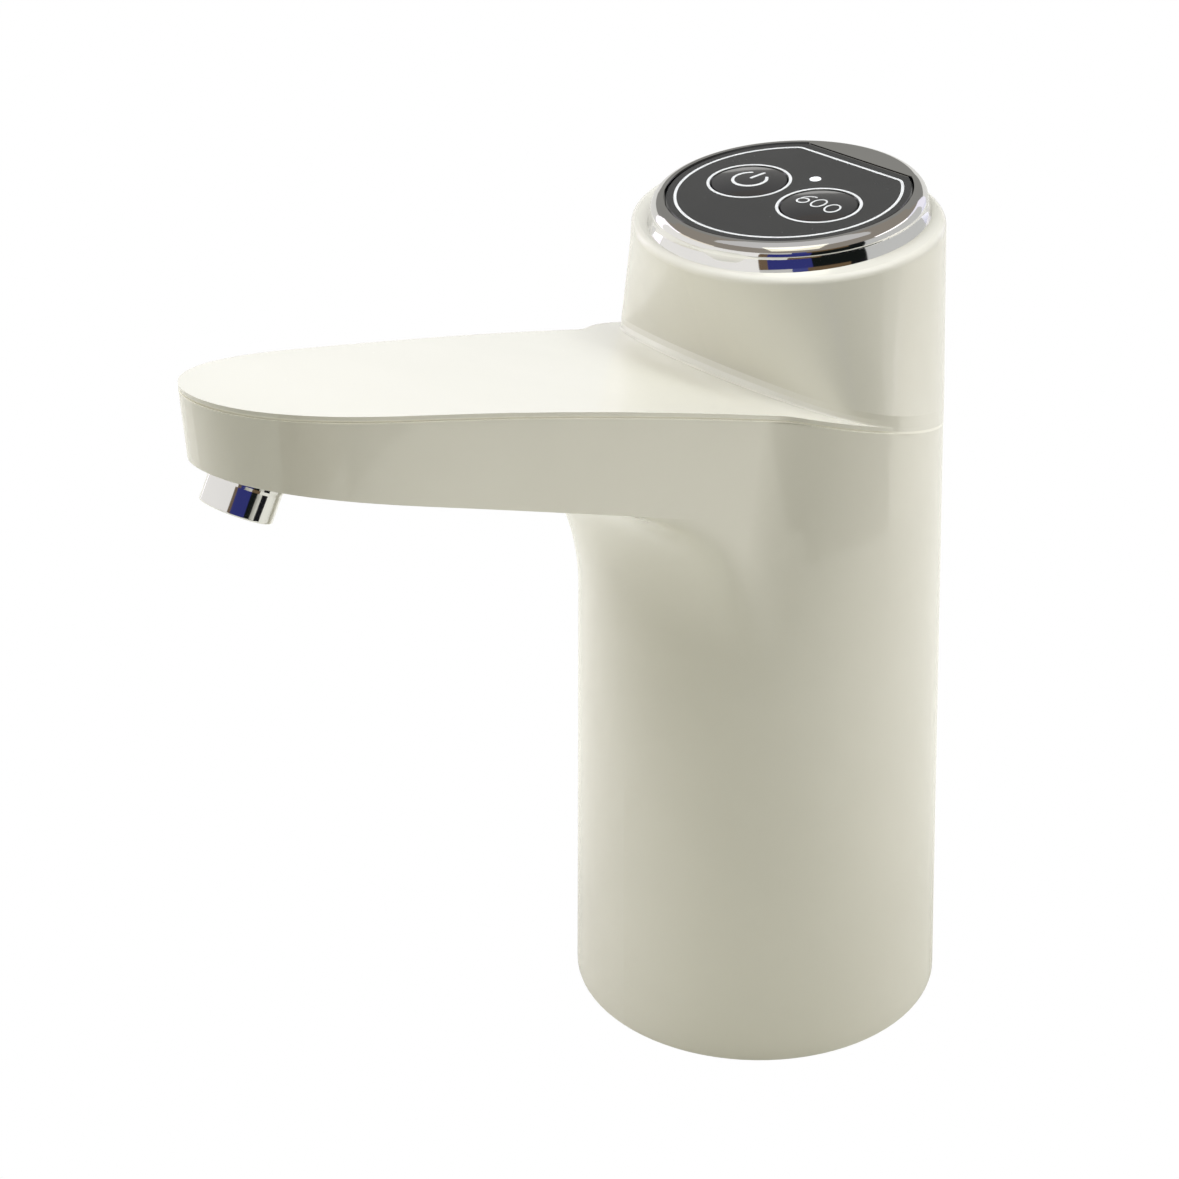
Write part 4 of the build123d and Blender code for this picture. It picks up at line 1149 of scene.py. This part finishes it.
@dataclass(frozen=True)
class Studio:
    """Camera, floor, lamps and world.

    Attributes:
        lamps: the lamps.
        middle: point that the lamps face, in metres.
        eye: place of the camera in metres.
        yaw: direction that the camera looks in, in degrees from X towards Y.
        pitch: how far it looks down, in degrees.
        roll: how far it is turned clockwise, in degrees.
        focal_px: focal length in pixels of the picture.
        image_px: side of the picture in pixels.
        sensor: width of the sensor in millimetres.
        clip: nearest and farthest distance that the camera sees, in metres.
        floor_r: half side of the floor in metres.
        floor_z: height of the floor, just clear of the foot.
        floor_color: its colour, linear.
    """

    lamps: Sequence[Lamp]
    middle: tuple[float, float, float] = (0.02, 0.0, 0.09)
    eye: tuple[float, float, float] = (0.3294848, 0.3298208, 0.3291183)
    yaw: float = 228.864
    pitch: float = 27.992
    roll: float = 1.147
    focal_px: float = 2855.4
    image_px: float = 1179.0
    sensor: float = 36.0
    clip: tuple[float, float] = (0.01, 20.0)
    floor_r: float = 4.0
    floor_z: float = -0.0005
    floor_color: tuple[float, float, float] = (0.82, 0.81, 0.72)

    def camera(self) -> None:
        """Makes the camera from its yaw, pitch and roll."""
        yaw, pitch, roll = (math.radians(v) for v in (self.yaw, self.pitch, self.roll))
        ahead = Vector((math.cos(yaw) * math.cos(pitch), math.sin(yaw) * math.cos(pitch), -math.sin(pitch)))
        right = ahead.cross(Vector((0, 0, 1))).normalized()
        down = ahead.cross(right)
        turned_right = right * math.cos(roll) + down * math.sin(roll)
        turned_down = down * math.cos(roll) - right * math.sin(roll)
        data = bpy.data.cameras.new("camera")
        data.sensor_width = self.sensor
        data.lens = self.sensor * self.focal_px / self.image_px
        data.clip_start, data.clip_end = self.clip
        camera = bpy.data.objects.new("camera", data)
        turn = Matrix((turned_right, -turned_down, -ahead)).transposed().to_4x4()
        camera.matrix_world = Matrix.Translation(self.eye) @ turn
        bpy.context.scene.collection.objects.link(camera)
        bpy.context.scene.camera = camera

    def floor(self) -> None:
        """Makes a pale floor that the camera sees as plain white."""
        corners = np.array([[[-1, -1, 0], [1, -1, 0]], [[-1, 1, 0], [1, 1, 0]]])
        floor = grid_mesh("floor", corners * self.floor_r, (False, False))
        floor.location.z = self.floor_z
        material, graph = new_material("floor_white")
        matte = graph.shader("ShaderNodeBsdfDiffuse", {"Color": opaque(self.floor_color)})
        glow = graph.shader("ShaderNodeEmission", {"Color": WHITE})
        graph.surface(graph.by_ray("Is Camera Ray", matte, glow))
        floor.data.materials.append(material)

    def world(self, fill: tuple[float, float, float], shine: tuple[float, float, float]) -> None:
        """Makes the even surrounding light, white where the camera looks past the floor.

        Args:
            fill: colour of the surroundings on matte surfaces.
            shine: colour of the surroundings in reflections.
        """
        world = bpy.data.worlds.new("surroundings")
        bpy.context.scene.world = world
        world.use_nodes = True
        graph = Graph(world.node_tree)
        plain, mirrored, seen = (
            graph.shader("ShaderNodeBackground", {"Color": color}) for color in (opaque(fill), opaque(shine), WHITE)
        )
        shown = graph.by_ray("Is Camera Ray", graph.by_ray("Is Glossy Ray", plain, mirrored), seen)
        graph.surface(shown, "ShaderNodeOutputWorld")

    def light(self) -> None:
        """Places the lamps."""
        middle = Vector(self.middle)
        for lamp in self.lamps:
            data = bpy.data.lights.new(lamp.name, "AREA")
            data.shape = "RECTANGLE"
            data.size, data.size_y = lamp.size
            data.energy = lamp.power
            data.color = lamp.color
            made = bpy.data.objects.new(lamp.name, data)
            made.visible_glossy = lamp.mirrored
            made.location = lamp.place(middle)
            made.rotation_euler = (middle - made.location).to_track_quat("-Z", "Y").to_euler()
            bpy.context.scene.collection.objects.link(made)


@dataclass(frozen=True)
class Card:
    """Panel that only shows in reflections, bent round the object, upright or flat on the floor.

    Attributes:
        name: name of the card.
        azimuths: first and last direction that it covers, in degrees from X towards Y.
        heights: its lower and upper edge in metres.
        distances: metres from the object's axis to its lower and upper edge.
        glow: colour and brightness that it shows.
    """

    name: str
    azimuths: tuple[float, float]
    heights: tuple[float, float]
    distances: tuple[float, float]
    glow: tuple[float, float, float]

    def build(self, count: int = 24) -> None:
        """Makes the card as a strip of a cylinder or of a ring, hidden from all but glossy rays.

        Args:
            count: points along each of its long edges.
        """
        turn = np.radians(np.linspace(*self.azimuths, count))
        ring = np.stack([np.cos(turn), np.sin(turn), 0 * turn], -1)
        points = np.stack([ring * away + (0, 0, high) for away, high in zip(self.distances, self.heights)])
        made = grid_mesh(self.name, points, (False, False))
        made.visible_camera = made.visible_diffuse = made.visible_shadow = made.visible_transmission = False
        material, graph = new_material(f"{self.name}_glow")
        graph.surface(graph.shader("ShaderNodeEmission", {"Color": opaque(self.glow)}))
        made.data.materials.append(material)


# Lower and upper edges of the cards, and how far both edges stand from the object's axis, in metres
UP = (0.06, 0.34)
LOW = (0.06, 0.275)
HIGH = (0.275, 0.36)
FLAT = (0.001, 0.001)
NEAR = (0.5, 0.5)
FAR = (0.6, 0.6)
CARDS = (
    Card("card_left", (-75, 21), UP, NEAR, (0.92, 0.90, 0.88)),
    Card("card_brown", (21, 28), LOW, NEAR, (0.16, 0.11, 0.07)),
    Card("card_blue", (28, 62), LOW, NEAR, (0.035, 0.04, 0.19)),
    Card("card_black", (62, 106), LOW, NEAR, (0.008, 0.010, 0.009)),
    Card("card_pale_high", (21, 46), HIGH, NEAR, (0.60, 0.59, 0.57)),
    Card("card_blue_high", (46, 58), HIGH, NEAR, (0.06, 0.07, 0.24)),
    Card("card_gold_high", (58, 92), HIGH, NEAR, (0.15, 0.10, 0.055)),
    Card("card_black_high", (92, 106), HIGH, NEAR, (0.010, 0.010, 0.012)),
    Card("mat_gold", (45, 72), FLAT, (0.27, 0.45), (0.15, 0.10, 0.055)),
    Card("mat_black", (72, 128), FLAT, (0.25, 0.45), (0.010, 0.010, 0.012)),
    Card("card_right", (106, 176), UP, NEAR, (0.60, 0.60, 0.59)),
    Card("card_behind_low", (190, 270), (0.0, 0.30), FAR, (0.78, 0.77, 0.74)),
    Card("card_behind_high", (190, 270), (0.30, 0.62), FAR, (0.27, 0.265, 0.25)),
)
# Width and height of most lamps in metres
PANE = (0.5, 0.5)
LAMPS = (
    Lamp("ceiling", 0, 90, 0.86, (0.9, 0.9), 0.91, (0.86, 0.91, 1.0)),
    Lamp("high_left", -41, 60, 0.80, PANE, 4.41, (0.91, 0.92, 1.0), False),
    Lamp("high_right", 139, 60, 0.80, PANE, 3.40, (0.96, 0.98, 1.0), False),
    Lamp("high_front", 49, 60, 0.85, PANE, 0.65, (1.0, 0.97, 0.78)),
    Lamp("left", -41, 12, 0.75, PANE, 0.52, (1.0, 0.92, 0.76)),
    Lamp("right", 139, 12, 0.75, PANE, 1.26, (1.0, 0.94, 0.97)),
    Lamp("back_left", -80, 12, 0.75, PANE, 0.97, (0.94, 0.90, 1.0)),
    Lamp("back_right", 178, 12, 0.75, PANE, 0.67, (0.82, 0.82, 1.0)),
    Lamp("back", 229, 3, 0.75, (0.9, 0.3), 2.01, (0.88, 0.90, 1.0)),
)
# Colour of the surroundings on matte surfaces and in reflections
WORLD_LIGHT = (0.090, 0.088, 0.068)
WORLD_SHINE = (0.29, 0.26, 0.225)


# ---- the whole scene
@dataclass
class Scene:
    """Puts finishes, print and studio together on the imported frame.

    Attributes:
        paint: material maker.
        head: frame of the head.
    """

    paint: Paint = field(default_factory=Paint)
    head: HeadFrame = field(default_factory=HeadFrame)

    def finish_nodes(self) -> None:
        """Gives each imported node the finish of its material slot."""
        slots = {entry["node"]: entry["material_slot"] for entry in frame["record"]["subparts"]}
        for name, node in frame["nodes"].items():
            self.paint.cover(node, slots[name])
        LOG.info("finished %d nodes", len(slots))

    def build(self) -> None:
        """Makes the scene."""
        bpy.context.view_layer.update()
        self.finish_nodes()
        RootBlend().build(self.paint)
        BezelWall().build(self.head, self.paint)
        Markings(self.head, self.paint).build()
        studio = Studio(LAMPS)
        studio.camera()
        studio.floor()
        studio.world(WORLD_LIGHT, WORLD_SHINE)
        studio.light()
        for card in CARDS:
            card.build()
        bpy.context.scene.view_settings.view_transform = "Standard"
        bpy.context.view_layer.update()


def main() -> None:
    """Builds the scene."""
    logging.basicConfig(level=logging.INFO)
    Scene().build()


if __name__ == "__main__":
    main()
